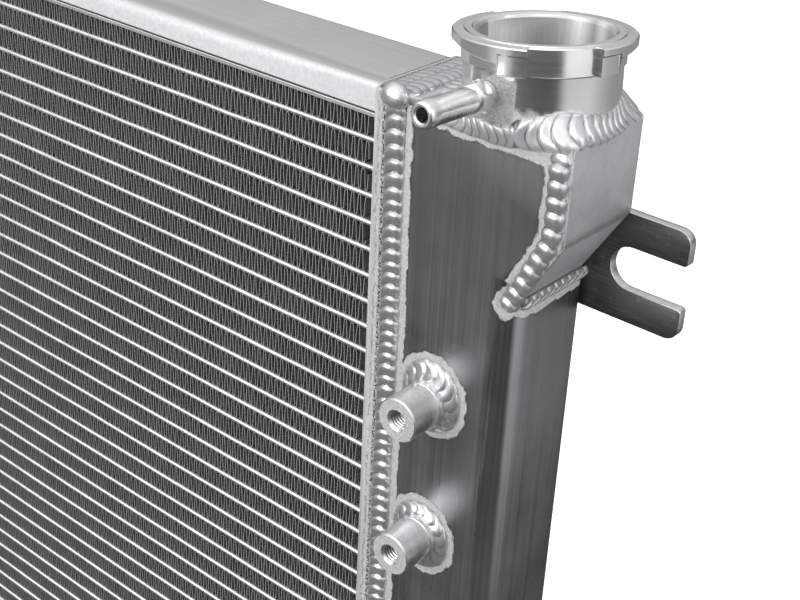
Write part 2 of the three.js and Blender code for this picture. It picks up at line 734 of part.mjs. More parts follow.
function hoseNeck(drop) {
  const bead = HOSE_LENGTH - HOSE_BEAD_WIDTH * 1.5;
  const profile = [
    [HOSE_BORE, 0], [HOSE_RADIUS, 0], [HOSE_RADIUS, bead], [HOSE_BEAD, bead + 1],
    [HOSE_BEAD, bead + HOSE_BEAD_WIDTH - 1], [HOSE_RADIUS, bead + HOSE_BEAD_WIDTH], [HOSE_RADIUS, HOSE_LENGTH],
    [HOSE_BORE, HOSE_LENGTH], [HOSE_BORE, 0],
  ];
  return onBack(turned(profile), CORE_HALF + HOSE_X, TOP - drop);
}

function hoseWeld(drop) {
  return onBack(filletRing(HOSE_RADIUS, FILLET, ROUND), CORE_HALF + HOSE_X, TOP - drop);
}

function locatingPin() {
  const profile = [
    [0, -PIN_LENGTH], [PIN_RADIUS - PIN_CHAMFER, -PIN_LENGTH], [PIN_RADIUS, PIN_CHAMFER - PIN_LENGTH],
    [PIN_RADIUS, -GAP], [0, -GAP],
  ];
  const pin = turned(profile, SMALL_ROUND);
  pin.translate(CORE_HALF + PIN_X, 0, 0);
  return pin;
}

function pinWeld() {
  const weld = filletRing(PIN_RADIUS, FILLET / 2);
  weld.rotateX(Math.PI);
  weld.translate(CORE_HALF + PIN_X, 0, -GAP);
  return weld;
}

// ---- drain --------------------------------------------------------------------------

function drainBung() {
  return mirrored(onBack(ring(BUNG_BORE, BUNG_RADIUS, BUNG_LENGTH), CORE_HALF + DRAIN_X, DRAIN_Z));
}

function drainWeld() {
  return mirrored(onBack(filletRing(BUNG_RADIUS, FILLET / 2), CORE_HALF + DRAIN_X, DRAIN_Z));
}

function drainSeal() {
  const seal = ring(SEAL_INNER, SEAL_OUTER, SEAL_THICK);
  seal.translate(0, 0, BUNG_LENGTH + GAP);
  return mirrored(onBack(seal, CORE_HALF + DRAIN_X, DRAIN_Z));
}

function drainStem() {
  const flange = BUNG_LENGTH + SEAL_THICK + 2 * GAP;
  const top = flange + STEM_FLANGE_THICK;
  const body = turned([
    [0, -STEM_INSIDE], [STEM_RADIUS - 1, -STEM_INSIDE], [STEM_RADIUS, 1 - STEM_INSIDE],
    [STEM_RADIUS, flange], [STEM_FLANGE, flange], [STEM_FLANGE, top], [0, top],
  ]);
  const outline = new THREE.Shape();
  const tip = WING_LENGTH / 2;
  outline.moveTo(-STEM_RADIUS, top - 1);
  outline.lineTo(STEM_RADIUS, top - 1);
  outline.lineTo(WING_HALF, top + tip);
  outline.absarc(WING_HALF - tip / 2, top + WING_LENGTH - tip / 2, tip / 2, 0, Math.PI / 2, false);
  outline.lineTo(0, top + tip);
  outline.absarc(tip / 2 - WING_HALF, top + WING_LENGTH - tip / 2, tip / 2, Math.PI / 2, Math.PI, false);
  outline.lineTo(-WING_HALF, top + tip);
  const wings = prismY(outline, -WING_THICK / 2, WING_THICK / 2);
  return mirrored(onBack(join(body, wings), CORE_HALF + DRAIN_X, DRAIN_Z));
}

// ---- welds --------------------------------------------------------------------------

// The bead that runs all round the seam between a header and its tank.
function headerWeld() {
  const low = GAP;
  const high = GAP + BEAD_HEIGHT;
  const outer = HEADER_RADIUS;
  const shape = roundedRectangle(
    FRONT - high, BACK + high, -high, TOP + high, [outer, outer, outer, outer],
  );
  shape.holes.push(
    roundedRectangle(FRONT - low, BACK + low, -low, TOP + low, [0, 0, 0, 0]),
  );
  const start = CORE_HALF + BEAD_START;
  return prismX(shape, start, start + BEAD_WIDTH);
}

// The bead down the edge of the corner box's front wall.
function boxFrontWeld() {
  const half = BOX_BEAD_WIDTH / 2;
  const outer = BOX_SIDE - BOX_BEAD_INSET;
  const inner = outer - BOX_BEAD_WIDTH;
  const foot = BOX_FOOT - half;
  const shape = polygon([
    [outer, SHELL_TOP], [inner, SHELL_TOP], [inner, BOX_CREASE + 1],
    [SHELL_END - BOX_BEAD_WIDTH - 2, foot + 1], [SHELL_END - half - 2, foot - 1],
    [SHELL_END - 2, BOX_FOOT - 1], [outer, BOX_CREASE],
  ]);
  return prismY(shape, FRONT - GAP - BEAD_HEIGHT, FRONT - GAP);
}

// The bead on the back seam of the corner box, above the fork bracket.
function boxBackWeld() {
  const middle = BOX_SIDE - BOX_RADIUS;
  const half = BOX_BEAD_WIDTH / 2;
  const y = BACK + GAP;
  return block(middle - half, middle + half, y, y + BEAD_HEIGHT, TOP - FORK_TOP_DROP + GAP, SHELL_TOP);
}

function boxFootWeld() {
  const x = SHELL_END + GAP;
  const leg = FILLET;
  const shape = polygon([[x, BOX_FOOT - leg], [x + leg * 0.8, BOX_FOOT + 1], [x, BOX_FOOT - 1]]);
  return prismY(shape, FRONT + TANK_RADIUS, BACK - TANK_RADIUS);
}

// ---- assembly -----------------------------------------------------------------------

const brushed = { color: 0xb4b6b9, roughness: 0.34, metalness: 1 };
const machined = { color: 0xd4d5d7, roughness: 0.22, metalness: 1 };
const weldMetal = { color: 0xa6a8ab, roughness: 0.3, metalness: 1 };
const brazed = { color: 0x8e9093, roughness: 0.5, metalness: 1 };
const fork = { color: 0x77787a, roughness: 0.45, metalness: 1 };
const brass = { color: 0xb6964f, roughness: 0.35, metalness: 1 };
const rubber = { color: 0x151515, roughness: 0.8, metalness: 0 };

const radiator = new THREE.Group();

function add(name, geometry, look) {
  const material = new THREE.MeshStandardMaterial({ ...look, flatShading: true });
  const mesh = new THREE.Mesh(skin(geometry), material);
  mesh.name = name;
  radiator.add(mesh);
}

function addPair(name, geometry, look) {
  add(`right_${name}`, geometry, look);
  add(`left_${name}`, mirrored(geometry), look);
}

add('core_matrix', coreMatrix(), brazed);
add('top_side_plate', sidePlate(CORE_TOP), brazed);
add('bottom_side_plate', sidePlate(CORE_BOTTOM), brazed);
add('top_rail', topRail(), brushed);
add('bottom_rail', bottomRail(), brushed);

addPair('header_plate', headerPlate(), brushed);
addPair('bottom_plate', endPlate(TANK_WIDTH, TANK_RADIUS, 0), brushed);
addPair('header_weld', headerWeld(), weldMetal);
add('right_tank_shell', rightTankShell(), brushed);
add('left_tank_shell', leftTankShell(), brushed);
add('right_top_plate', rightTopPlate(), brushed);
add('left_top_plate', mirrored(endPlate(TANK_WIDTH, TANK_RADIUS, TOP - TANK_WALL)), brushed);

add('corner_box_plate', cornerBoxPlate(), brushed);
add('corner_box_front_weld', boxFrontWeld(), weldMetal);
add('corner_box_back_weld', boxBackWeld(), weldMetal);
add('corner_box_foot_weld', boxFootWeld(), weldMetal);

add('filler_neck', fillerNeck(), machined);
add('filler_neck_weld', neckWeld(), weldMetal);
add('overflow_nipple', overflowNipple(), machined);

const bossNames = ['upper_boss', 'lower_boss'];
bossNames.forEach((name, i) => {
  addPair(name, boss(BOSS_DROPS[i]), machined);
  addPair(`${name}_weld`, bossWeld(BOSS_DROPS[i]), weldMetal);
});

addPair('fork_bracket', forkBracket(), fork);
addPair('fork_bracket_weld', forkWeld(), weldMetal);
addPair('locating_pin', locatingPin(), machined);
addPair('locating_pin_weld', pinWeld(), weldMetal);

add('inlet_neck', mirrored(hoseNeck(INLET_DROP)), machined);
add('inlet_neck_weld', mirrored(hoseWeld(INLET_DROP)), weldMetal);
add('outlet_neck', hoseNeck(OUTLET_DROP), machined);
add('outlet_neck_weld', hoseWeld(OUTLET_DROP), weldMetal);

add('drain_bung', drainBung(), machined);
add('drain_bung_weld', drainWeld(), weldMetal);
add('drain_seal', drainSeal(), rubber);
add('drain_stem', drainStem(), brass);

export default radiator;
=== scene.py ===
"""Looks of a welded aluminium cross-flow radiator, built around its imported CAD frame."""

import math

import bmesh
import bpy
import numpy as np
from mathutils import Euler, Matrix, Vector


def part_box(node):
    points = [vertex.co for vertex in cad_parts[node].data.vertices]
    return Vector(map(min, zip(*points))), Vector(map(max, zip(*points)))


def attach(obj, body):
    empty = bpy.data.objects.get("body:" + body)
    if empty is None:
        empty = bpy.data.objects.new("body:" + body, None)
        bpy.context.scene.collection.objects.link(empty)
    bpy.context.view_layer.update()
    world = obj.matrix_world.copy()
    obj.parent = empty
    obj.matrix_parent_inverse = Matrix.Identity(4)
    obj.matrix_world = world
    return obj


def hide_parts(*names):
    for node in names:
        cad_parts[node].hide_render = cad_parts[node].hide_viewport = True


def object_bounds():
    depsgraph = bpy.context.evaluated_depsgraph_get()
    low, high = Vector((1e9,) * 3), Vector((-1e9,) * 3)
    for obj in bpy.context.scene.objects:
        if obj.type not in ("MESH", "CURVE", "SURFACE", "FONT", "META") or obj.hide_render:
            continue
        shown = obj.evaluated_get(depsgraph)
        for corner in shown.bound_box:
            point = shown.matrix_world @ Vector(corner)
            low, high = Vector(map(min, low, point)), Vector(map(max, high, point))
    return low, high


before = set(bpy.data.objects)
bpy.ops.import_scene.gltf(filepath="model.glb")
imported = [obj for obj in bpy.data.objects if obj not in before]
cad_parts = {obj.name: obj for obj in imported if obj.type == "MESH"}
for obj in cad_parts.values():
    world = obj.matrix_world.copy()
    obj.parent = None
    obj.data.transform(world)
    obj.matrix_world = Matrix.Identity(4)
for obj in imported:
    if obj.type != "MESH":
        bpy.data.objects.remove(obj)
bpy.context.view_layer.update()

MM = 0.001
BODY = "radiator"
SHARP_EDGE = math.radians(38.0)
rng = np.random.default_rng(7)

# ---- places read from the frame, in millimetres ----


def box(node):
    low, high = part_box(node)
    return np.array(low) / MM, np.array(high) / MM


def middle_of(node):
    low, high = box(node)
    return (low + high) / 2


CORE_LOW, CORE_HIGH = box("core_matrix")
HEADER_LOW, HEADER_HIGH = box("right_header_plate")
BOX_LOW, BOX_HIGH = box("corner_box_plate")
RAIL_LOW, RAIL_HIGH = box("top_rail")
LOW_RAIL_HIGH = box("bottom_rail")[1]
FORK_HIGH = box("right_fork_bracket")[1]

FRONT = HEADER_LOW[1]
BACK = HEADER_HIGH[1]
TOP = HEADER_HIGH[2]
CORE_END = HEADER_LOW[0]
SIDE = -box("left_tank_shell")[0][0]
BOX_SIDE = BOX_HIGH[0]
SEAM = middle_of("right_header_weld")[0]
SIDES = ((1, "right"), (-1, "left"))
BOSSES = ("upper_boss", "lower_boss")

# ---- design values that only the looks need, in millimetres ----

TUBE_PITCH = 10.2
TUBE_HALF = 1.0
TUBE_WALL = 0.4
FIN_PITCH = 3.1
FIN_THICK = 0.24
BEAD_SINK = 0.5
PLATE_LIP = 1.7
NECK_BASE = np.array([CORE_END + 50.1, -0.95, TOP])
NECK_RADIUS = 24.9
NECK_HEIGHT = 25.6
NECK_BORE = 21.0
NECK_SEAT = 17.0
COLLAR_RADIUS = 25.6
COLLAR_START = 16.3
RIM_RADIUS = 28.7
RIM_HEIGHT = 4.4
STOP_RADIUS = 28.2
STOPS = (96.0, 177.0)
NOTCH = (114.5, 161.5)
FLAT_ENDS = [-105.4, -74.6]
LIP_HEIGHT = 0.5
LEAN_BACK = 0.046
LEAN_LEFT = 0.072
NIPPLE_HEIGHT = 8.5
NIPPLE_OFFSET = -3.6
NIPPLE_FLAT = 24.0
NIPPLE_TIP = 54.9
NIPPLE_RADIUS = 4.4
BOX_CREASE = TOP - 31.8
BOX_EDGE = BOX_SIDE - 5.0
BOX_RADIUS = 9.0

# ---- mesh helpers ----


def piece(name, verts, faces, material, node, angle=32.0):
    """A mesh object from points in millimetres; it stands for a CAD node, or a part of one."""
    mesh = bpy.data.meshes.new(name)
    mesh.from_pydata((np.asarray(verts, float) * MM).tolist(), [], faces)
    return dress(name, mesh, material, node, angle=angle)


def add_object(name, data):
    obj = bpy.data.objects.new(name, data)
    bpy.context.scene.collection.objects.link(obj)
    return obj


def dress(name, mesh, material, node, body=BODY, angle=30.0):
    mesh.validate()
    bm = bmesh.new()
    bm.from_mesh(mesh)
    bmesh.ops.recalc_face_normals(bm, faces=bm.faces)
    bm.to_mesh(mesh)
    bm.free()
    mesh.polygons.foreach_set("use_smooth", [True] * len(mesh.polygons))
    mesh.set_sharp_from_angle(angle=math.radians(angle))
    mesh.materials.append(material)
    obj = add_object(name, mesh)
    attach(obj, body)
    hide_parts(node)
    return obj


def mark(obj, values):
    """Marks the hollows of a mesh, point by point, where its material paints shade."""
    layer = obj.data.attributes.new("groove_shade", "FLOAT", "POINT")
    layer.data.foreach_set("value", np.asarray(values, np.float32).ravel())


def refine(node, material, bevel, body=BODY, segments=2, move=None):
    """A fine copy of a CAD node: clean faces and rounded edges."""
    bm = bmesh.new()
    bm.from_mesh(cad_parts[node].data)
    bmesh.ops.remove_doubles(bm, verts=bm.verts, dist=1e-6)
    bmesh.ops.dissolve_limit(
        bm, angle_limit=math.radians(0.8), verts=bm.verts, edges=bm.edges, delimit=set()
    )
    if move:
        for vert in bm.verts:
            vert.co = Vector(move(*(c / MM for c in vert.co))) * MM
    sharp = [e for e in bm.edges if len(e.link_faces) == 2 and e.calc_face_angle(0) > SHARP_EDGE]
    bmesh.ops.bevel(
        bm, geom=sharp, offset=bevel * MM, segments=segments, profile=0.5,
        affect="EDGES", clamp_overlap=True,
    )
    mesh = bpy.data.meshes.new(f"{node}_sheet")
    bm.to_mesh(mesh)
    bm.free()
    return dress(mesh.name, mesh, material, node, body)


def grid_faces(rows, cols, close_rows=False, close_cols=False):
    """Quads of a grid of points, rows by cols, joined round on the axes that close."""
    faces = []
    for i in range(rows if close_rows else rows - 1):
        a = i * cols
        b = ((i + 1) % rows) * cols
        for j in range(cols if close_cols else cols - 1):
            k = (j + 1) % cols
            faces.append((a + j, a + k, b + k, b + j))
    return faces


def circle(count):
    return np.linspace(0, 2 * math.pi, count, endpoint=False)


def lathe(profile, sides=64):
    """A closed profile of (radius, height) turned about +Z."""
    turn = circle(sides)[:, None]
    r, z = np.array(profile, float).T
    verts = np.stack([r * np.cos(turn), r * np.sin(turn), np.tile(z, (sides, 1))], -1)
    return verts.reshape(-1, 3), grid_faces(sides, len(profile), True, True)


def arc(cx, cy, r, start, end, steps=5):
    """Points of an arc, angles in degrees."""
    return [
        (cx + r * math.cos(math.radians(a)), cy + r * math.sin(math.radians(a)))
        for a in np.linspace(start, end, steps + 1)
    ]


def turned_to(axis):
    """The matrix that turns +Z to point along an axis."""
    return np.array(Vector((0, 0, 1)).rotation_difference(Vector(axis)).to_matrix())


def lathed(node, profile, sides, way):
    """A turned piece that stands on a tank's front (way -1) or back (way 1)."""
    low, high = box(node)
    verts, faces = lathe(profile, sides)
    foot = (low + high) / 2
    foot[1] = low[1] if way > 0 else high[1]
    verts = verts @ turned_to((0, way, 0)).T + foot
    return piece(f"{node}_turned", verts, faces, BOSS_METAL, node)


# ---- material helpers ----


class Value:
    """A node's output; arithmetic on it adds math nodes."""

    def __init__(self, nodes, socket):
        self.nodes = nodes
        self.socket = socket

    def __add__(self, other):
        return self.nodes.math("ADD", self, other)

    def __sub__(self, other):
        return self.nodes.math("SUBTRACT", self, other)

    def __rsub__(self, other):
        return self.nodes.math("SUBTRACT", other, self)

    def __mul__(self, other):
        return self.nodes.math("MULTIPLY", self, other)

    def __abs__(self):
        return self.nodes.math("ABSOLUTE", self)


class Nodes:
    """Short names for the nodes of one tree."""

    def __init__(self, tree):
        self.tree = tree

    def link(self, source, target):
        """Gives an input a value; a colour may be a plain number, for a grey."""
        if isinstance(source, Value):
            self.tree.links.new(source.socket, target)
        elif target.type == "RGBA":
            target.default_value = (*(source if isinstance(source, tuple) else grey(source)), 1)
        else:
            target.default_value = source

    def add(self, kind, inputs=(), output=0, **settings):
        """A new node; inputs come in order or by name, and one of its outputs comes back."""
        made = self.tree.nodes.new("ShaderNode" + kind)
        for key, value in settings.items():
            setattr(made, key, value)
        for key, source in inputs.items() if isinstance(inputs, dict) else enumerate(inputs):
            self.link(source, made.inputs[key])
        return Value(self, made.outputs[output])

    def math(self, operation, a, b=0.0):
        return self.add("Math", (a, b), operation=operation)

    def length(self, vector):
        return self.add("VectorMath", (vector,), "Value", operation="LENGTH")

    def axis(self, vector, number):
        return self.add("SeparateXYZ", (vector,), number)

    def normal(self, number):
        """One part of the face's direction."""
        return self.axis(self.add("NewGeometry", (), "Normal"), number)

    def facing(self, number, low, high):
        """How far a face looks along an object axis, either way."""
        return self.ramp(abs(self.normal(number)), low, high)

    def ray(self, kind):
        return self.add("LightPath", (), kind)

    def noise(self, scale, detail=3.0, rough=0.6, distort=0.0):
        """Noise with a feature size, or one for each axis, in features per metre."""
        vector = self.place
        if isinstance(scale, tuple):
            vector = self.add("Mapping", {"Vector": vector, "Scale": scale})
            scale = 1.0
        return self.add("TexNoise", {
            "Vector": vector, "Scale": scale, "Detail": detail, "Roughness": rough, "Distortion": distort,
        })

    def ramp(self, value, low, high, out_low=0.0, out_high=1.0):
        return self.add("MapRange", (value, low, high, out_low, out_high))

    def grain(self, noise, dark=0.0, pale=1.0, low=0.3, high=0.7):
        """A noise spread over a range of values."""
        return self.ramp(noise, low, high, dark, pale)

    def mix(self, share, a, b, blend="MIX"):
        return self.add("Mix", {0: share, 6: a, 7: b}, 2, data_type="RGBA", blend_type=blend)

    def greys(self, value, *stops):
        """Tones along a value: the first stop, the last stop, then those between."""
        made = self.tree.nodes.new("ShaderNodeValToRGB")
        self.link(value, made.inputs[0])
        marks = made.color_ramp.elements
        for i, (place, tone) in enumerate(stops):
            mark = marks[i] if i < 2 else marks.new(place)
            mark.position = place
            mark.color = (*(tone if isinstance(tone, tuple) else grey(tone)), 1)
        return Value(self, made.outputs[0])

    def bump(self, height, distance, strength=1.0, after=None):
        inputs = {"Height": height, "Distance": distance * MM, "Strength": strength}
        if after:
            inputs["Normal"] = after
        return self.add("Bump", inputs)


class Shader(Nodes):
    """The nodes of one material."""

    def __init__(self, name):
        self.material = bpy.data.materials.new(name)
        self.material.use_nodes = True
        super().__init__(self.material.node_tree)
        self.bsdf = self.tree.nodes["Principled BSDF"]
        self.place = self.add("TexCoord", (), "Object")

    def finish(self, colour, rough, metal=1.0, normal=None):
        self.link(colour, self.bsdf.inputs["Base Color"])
        self.link(rough, self.bsdf.inputs["Roughness"])
        self.link(metal, self.bsdf.inputs["Metallic"])
        if normal:
            self.link(normal, self.bsdf.inputs["Normal"])
        return self.material


def grey(value, tint=0.0):
    return (value * (1 - tint), value, value * (1 + tint))


# ---- etched bands beside the welds ----


def segment_distance(s, place, start, end, radius):
    """Distance in metres from a point to a rounded segment's skin."""
    start = np.array(start) * MM
    along = np.array(end) * MM - start
    length = float(along @ along)
    offset = s.add("VectorMath", (place, tuple(start)), operation="SUBTRACT")
    if length > 0:
        share = s.add("VectorMath", (offset, tuple(along / length)), "Value", operation="DOT_PRODUCT")
        share = s.add("Math", (share, 1.0), operation="MULTIPLY", use_clamp=True)
        step = s.add("VectorMath", {0: tuple(along), "Scale": share}, operation="SCALE")
        offset = s.add("VectorMath", (offset, step), operation="SUBTRACT")
    return s.length(offset) - radius * MM


def weld_distance_group():
    """A node group that gives the distance from a point to the nearest weld."""
    tree = bpy.data.node_groups.new("weld_distance", "ShaderNodeTree")
    tree.interface.new_socket("Vector", in_out="INPUT", socket_type="NodeSocketVector")
    tree.interface.new_socket("Distance", in_out="OUTPUT", socket_type="NodeSocketFloat")
    s = Nodes(tree)
    place = Value(s, tree.nodes.new("NodeGroupInput").outputs[0])
    nearest = None
    for segment in sheet_welds():
        reach = segment_distance(s, place, *segment)
        nearest = s.math("MINIMUM", nearest, reach) if nearest else reach
    s.link(nearest, tree.nodes.new("NodeGroupOutput").inputs[0])
    return tree


def seam_x(z):
    """Where the hand-laid header bead runs at a height; it wanders off the seam near the top."""
    return SEAM + np.interp(z, [0, 200, 385, 473], [-0.2, -0.2, -0.4, -1.7])


def boss_weld_centre(label, name):
    centre = middle_of(f"{label}_{name}")
    side = 1 if label == "right" else -1
    shift = (0.2, 2.0) if name == "upper_boss" else (-0.5, -1.1)
    return centre[0] + side * shift[0], centre[2] + shift[1]


def sheet_welds():
    """The seams that leave an etched band on the sheet beside them."""
    segments = []
    levels = (0, 385, TOP)
    for side, label in SIDES:
        for y in (FRONT, BACK):
            for ends in zip(levels, levels[1:]):
                segments.append((*((side * seam_x(z), y, z) for z in ends), 4.2))
        inner = side * (SEAM - 2.4)
        segments.append(((inner, FRONT, TOP), (inner, BACK, TOP), 5.6))
        segments.append(((side * SEAM, FRONT, 0), (side * SEAM, BACK, 0), 4.2))
        for name in BOSSES:
            x, z = boss_weld_centre(label, name)
            segments.append(((x, FRONT, z - 1.3), (x, FRONT, z + 1.3), 12.2))
        low, high = box(f"{label}_fork_bracket_weld")
        x = (low[0] + high[0]) / 2
        segments.append(((x, BACK, low[2]), (x, BACK, high[2]), 3))
    for name, radius in (("inlet_neck", 19.5), ("outlet_neck", 19.5), ("drain_bung", 11)):
        centre = middle_of(name)
        spot = (centre[0], BACK, centre[2])
        segments.append((spot, spot, radius))
    foot = BOX_LOW[2] - 3
    back = BOX_SIDE - BOX_RADIUS
    segments += [
        ((BOX_EDGE, FRONT, TOP), (BOX_EDGE, FRONT, BOX_CREASE), 2.2),
        ((BOX_EDGE, FRONT, BOX_CREASE), (SIDE - 4, FRONT, foot), 2.2),
        ((back, BACK, TOP), (back, BACK, BOX_CREASE), 2.4),
        ((SIDE, FRONT + 4, foot), (SIDE, BACK - 4, foot), 1.4),
        ((SIDE - 34, FRONT, TOP - 1), (SIDE + 8, FRONT, TOP - 1), 4.0),
    ]
    return segments


WELD_DISTANCE = weld_distance_group()

# ---- materials ----


def brushed(name, grain, value, rough, contrast, depth=0.012, etched=True, metal=1.0,
            band_width=3.0, glints_and_shade=0.0, pits=False, fade=None):
    """Brushed sheet; grain is the noise scale per axis, small along the brushing."""
    s = Shader(name)
    lines = s.noise(grain, 4)
    broad = s.noise(tuple(g * 0.3 for g in grain))
    cloud = s.noise(22.0, 4)
    half = contrast / 2
    tone = s.grain(lines, -half, half) + value
    tone = tone + s.grain(broad, -half, half)
    tone = tone + s.grain(cloud, -0.04, 0.04, 0.35, 0.65)
    # Painted shade and light: the tone is scaled with height, darker towards the top and lighter lower
    # down.
    if fade:
        tone = tone * s.ramp(s.axis(s.place, 2), 440 * MM, 260 * MM, *fade)
    colour = s.add("CombineColor", (tone * 0.985, tone, tone * 1.015))
    scratch = s.ramp(s.noise((140.0, 900.0, 2600.0), 2, 0.5, 0.8), 0.70, 0.74)
    roughness = s.grain(lines, -0.07, 0.07) + rough
    roughness = roughness + s.grain(cloud, -0.05, 0.05) + scratch * 0.08
    normal = s.bump(lines, depth)
    # Painted highlights: small bright glints scattered over the sheet.
    if glints_and_shade:
        glint = s.noise(2300.0, 2, 0.5)
        colour = s.mix(s.ramp(glint, 0.62, 0.70) * glints_and_shade, colour, 0.95)
        normal = s.bump(glint, 0.05, 0.7, normal)
    if not etched:
        return s.finish(colour, roughness, metal, normal)
    distance = s.add("Group", (s.place,), node_tree=WELD_DISTANCE)
    reach = distance + s.ramp(s.noise(260.0, 4, 0.62), 0.25, 0.75, -1.0 * MM, 1.0 * MM)
    band = s.ramp(reach, (band_width + 0.25) * MM, (band_width - 0.25) * MM)
    rim = s.ramp(reach, (band_width + 0.9) * MM, (band_width + 0.3) * MM) * (1.0 - band)
    rim = rim * s.ramp(s.noise(500.0), 0.42, 0.56)
    frost = s.mix(s.grain(s.noise(900.0)), 0.40, 0.60)
    colour = s.mix(band, colour, frost)
    colour = s.mix(rim * 0.75, colour, 0.16)
    roughness = s.math("MAXIMUM", roughness, band * 0.56)
    metal = s.ramp(band, 0, 1, metal, 0.25)
    normal = s.bump(s.noise(2600.0, 2, 0.6) * band, 0.05, 0.8, normal)
    # Painted shade: near-black dots stand for the shade in pits along a line beside the weld.
    if pits:
        edge = s.ramp(abs(distance - 0.9 * MM), 1.1 * MM, 0.4 * MM)
        pit_shade = edge * s.ramp(s.noise((1500.0, 1500.0, 1100.0)), 0.46, 0.52)
        colour = s.mix(pit_shade, colour, 0.02)
        metal = metal * (1.0 - pit_shade)
    # Painted shade: darker along the crease of the bend, and on faces that look down.
    if glints_and_shade:
        bend = s.ramp(abs(s.axis(s.place, 2) - BOX_CREASE * MM), 2.6 * MM, 0.4 * MM)
        bend = bend * s.ramp(band, 0, 1, 0.55, 0.0)
        bend = bend * s.ramp(s.noise(900.0), 0.3, 0.6, 0.5, 1.0)
        colour = s.mix(bend, colour, 0.06)
        colour = s.mix(s.ramp(s.normal(2), -0.2, -0.4) * 0.30, colour, 0.10)
    return s.finish(colour, roughness, metal, normal)


def groove_shade_mark(s):
    return s.add("Attribute", (), "Fac", attribute_name="groove_shade")


def weld_metal(name, value, rough, metal, line):
    """Weld metal: satin, sooty in patches, with a painted shade line where two discs meet."""
    s = Shader(name)
    soot = s.ramp(s.noise(160.0, 4, 0.65), 0.50, 0.74)
    fine = s.noise(1300.0)
    colour = s.mix(soot * 0.35, grey(value, 0.01), grey(value * 0.62, 0.03))
    # Painted shade: darker along the marked valleys where weld discs meet; line sets how dark.
    groove_shade = groove_shade_mark(s) * s.ramp(s.noise(400.0), 0.3, 0.6, 0.3, line)
    colour = s.mix(groove_shade, colour, 0.06)
    roughness = s.grain(fine, -0.04, 0.06) + rough + soot * 0.12
    return s.finish(colour, roughness, metal, s.bump(fine, 0.015, 0.4))


def turned(name, grain, value, rough, depth=0.002):
    """The nodes of turned metal with faint rings and painted shade where the mesh marks hollows, and its
    colour, roughness and normal.
    """
    s = Shader(name)
    lines = s.noise(grain)
    cloud = s.noise(60.0)
    colour = s.mix(s.ramp(lines, 0.35, 0.65), value * 0.93, grey(value, 0.004))
    colour = s.mix(s.ramp(cloud, 0.45, 0.8, 0.0, 0.25), colour, grey(value * 0.85, 0.01))
    roughness = s.grain(lines, -0.03, 0.04) + rough
    roughness = roughness + s.grain(cloud, -0.03, 0.05)
    normal = s.bump(lines, depth) if depth else None
    # Painted shade: near black where the mesh marks hollows.
    return s, s.mix(groove_shade_mark(s), colour, 0.02), roughness, normal


def faced(s, axis, colour, roughness):
    """Ends across an axis are paler and matt."""
    end = s.facing(axis, 0.9, 0.97)
    tone = s.ramp(s.noise(1700.0, 3, 0.7), 0.35, 0.65, 0.40, 0.66)
    colour = s.mix(end, colour, s.mix(tone, 0.0, 1.0))
    return colour, roughness + end * 0.15, s.ramp(end, 0, 1, 1.0, 0.35)


def machined(name, grain, value, rough, depth=0.002, axis=None):
    s, colour, roughness, normal = turned(name, grain, value, rough, depth)
    metal = 1.0
    if axis is not None:
        colour, roughness, metal = faced(s, axis, colour, roughness)
    return s.finish(colour, roughness, metal, normal)


def neck_metal():
    """The filler neck: frosted over its weld, with a milled flat and a satin bore painted with bands of
    reflection.
    """
    s, colour, roughness, normal = turned("turned_about_z", (30.0, 30.0, 2600.0), 0.86, 0.17)
    colour, roughness, metal = faced(s, 2, colour, roughness)
    level = s.axis(s.place, 2)
    x = s.axis(s.place, 0) - NECK_BASE[0] * MM
    y = s.axis(s.place, 1) - NECK_BASE[1] * MM
    reach = s.length(s.add("CombineXYZ", (x, y)))
    azimuth = s.math("ARCTAN2", y, x)
    height = level - TOP * MM + s.ramp(s.noise(300.0, 4, 0.65), 0.25, 0.75, -1.3 * MM, 1.3 * MM)
    band = s.ramp(height, 8.2 * MM, 5.6 * MM) * s.ramp(reach, 23.3 * MM, 23.6 * MM)
    band = band * s.ramp(azimuth, -1.34, -1.30) * s.ramp(azimuth, 0.1, -0.5)
    frost = s.mix(s.grain(s.noise(900.0)), 0.46, 0.66)
    colour = s.mix(band * 0.85, colour, frost)
    roughness = s.math("MAXIMUM", roughness, band * 0.5)
    # Painted reflections: inside the bore the colour is painted with light and dark bands round it,
    # streaked up and down.
    inside = s.ramp(reach, 23.2 * MM, 22.6 * MM) * s.ramp(level, (TOP + 26.5) * MM, (TOP + 24) * MM)
    reflection_streaks = s.mix(s.grain(s.noise((900.0, 900.0, 12.0))), 0.8, 1.0)
    wall = s.greys(
        s.ramp(azimuth, 0.6, 2.8), (0.0, 0.4), (1.0, 0.95), (0.2, 0.42), (0.28, 0.8), (0.32, 0.75),
        (0.38, 0.42), (0.44, 0.7), (0.49, 1.0), (0.53, 0.9), (0.6, 0.55), (0.68, 0.42), (0.76, 0.40),
        (0.86, 0.6),
    )
    colour = s.mix(inside, colour, s.mix(1.0, wall, reflection_streaks, "MULTIPLY"))
    milled = s.ramp(azimuth, -1.86, -1.83) * s.ramp(azimuth, -1.30, -1.33)
    milled = milled * s.ramp(level, (TOP + 15.9) * MM, (TOP + 15.6) * MM)
    chatter = s.mix(s.ramp(s.noise(1400.0, 3, 0.7), 0.35, 0.65), 0.34, 0.62)
    colour = s.mix(milled, colour, chatter)
    matt = s.math("MAXIMUM", band * 0.6, milled * 0.5)
    metal = metal * (1.0 - s.math("MAXIMUM", matt, inside * 0.85))
    return s.finish(colour, roughness + milled * 0.2 + inside * 0.25, metal, normal)


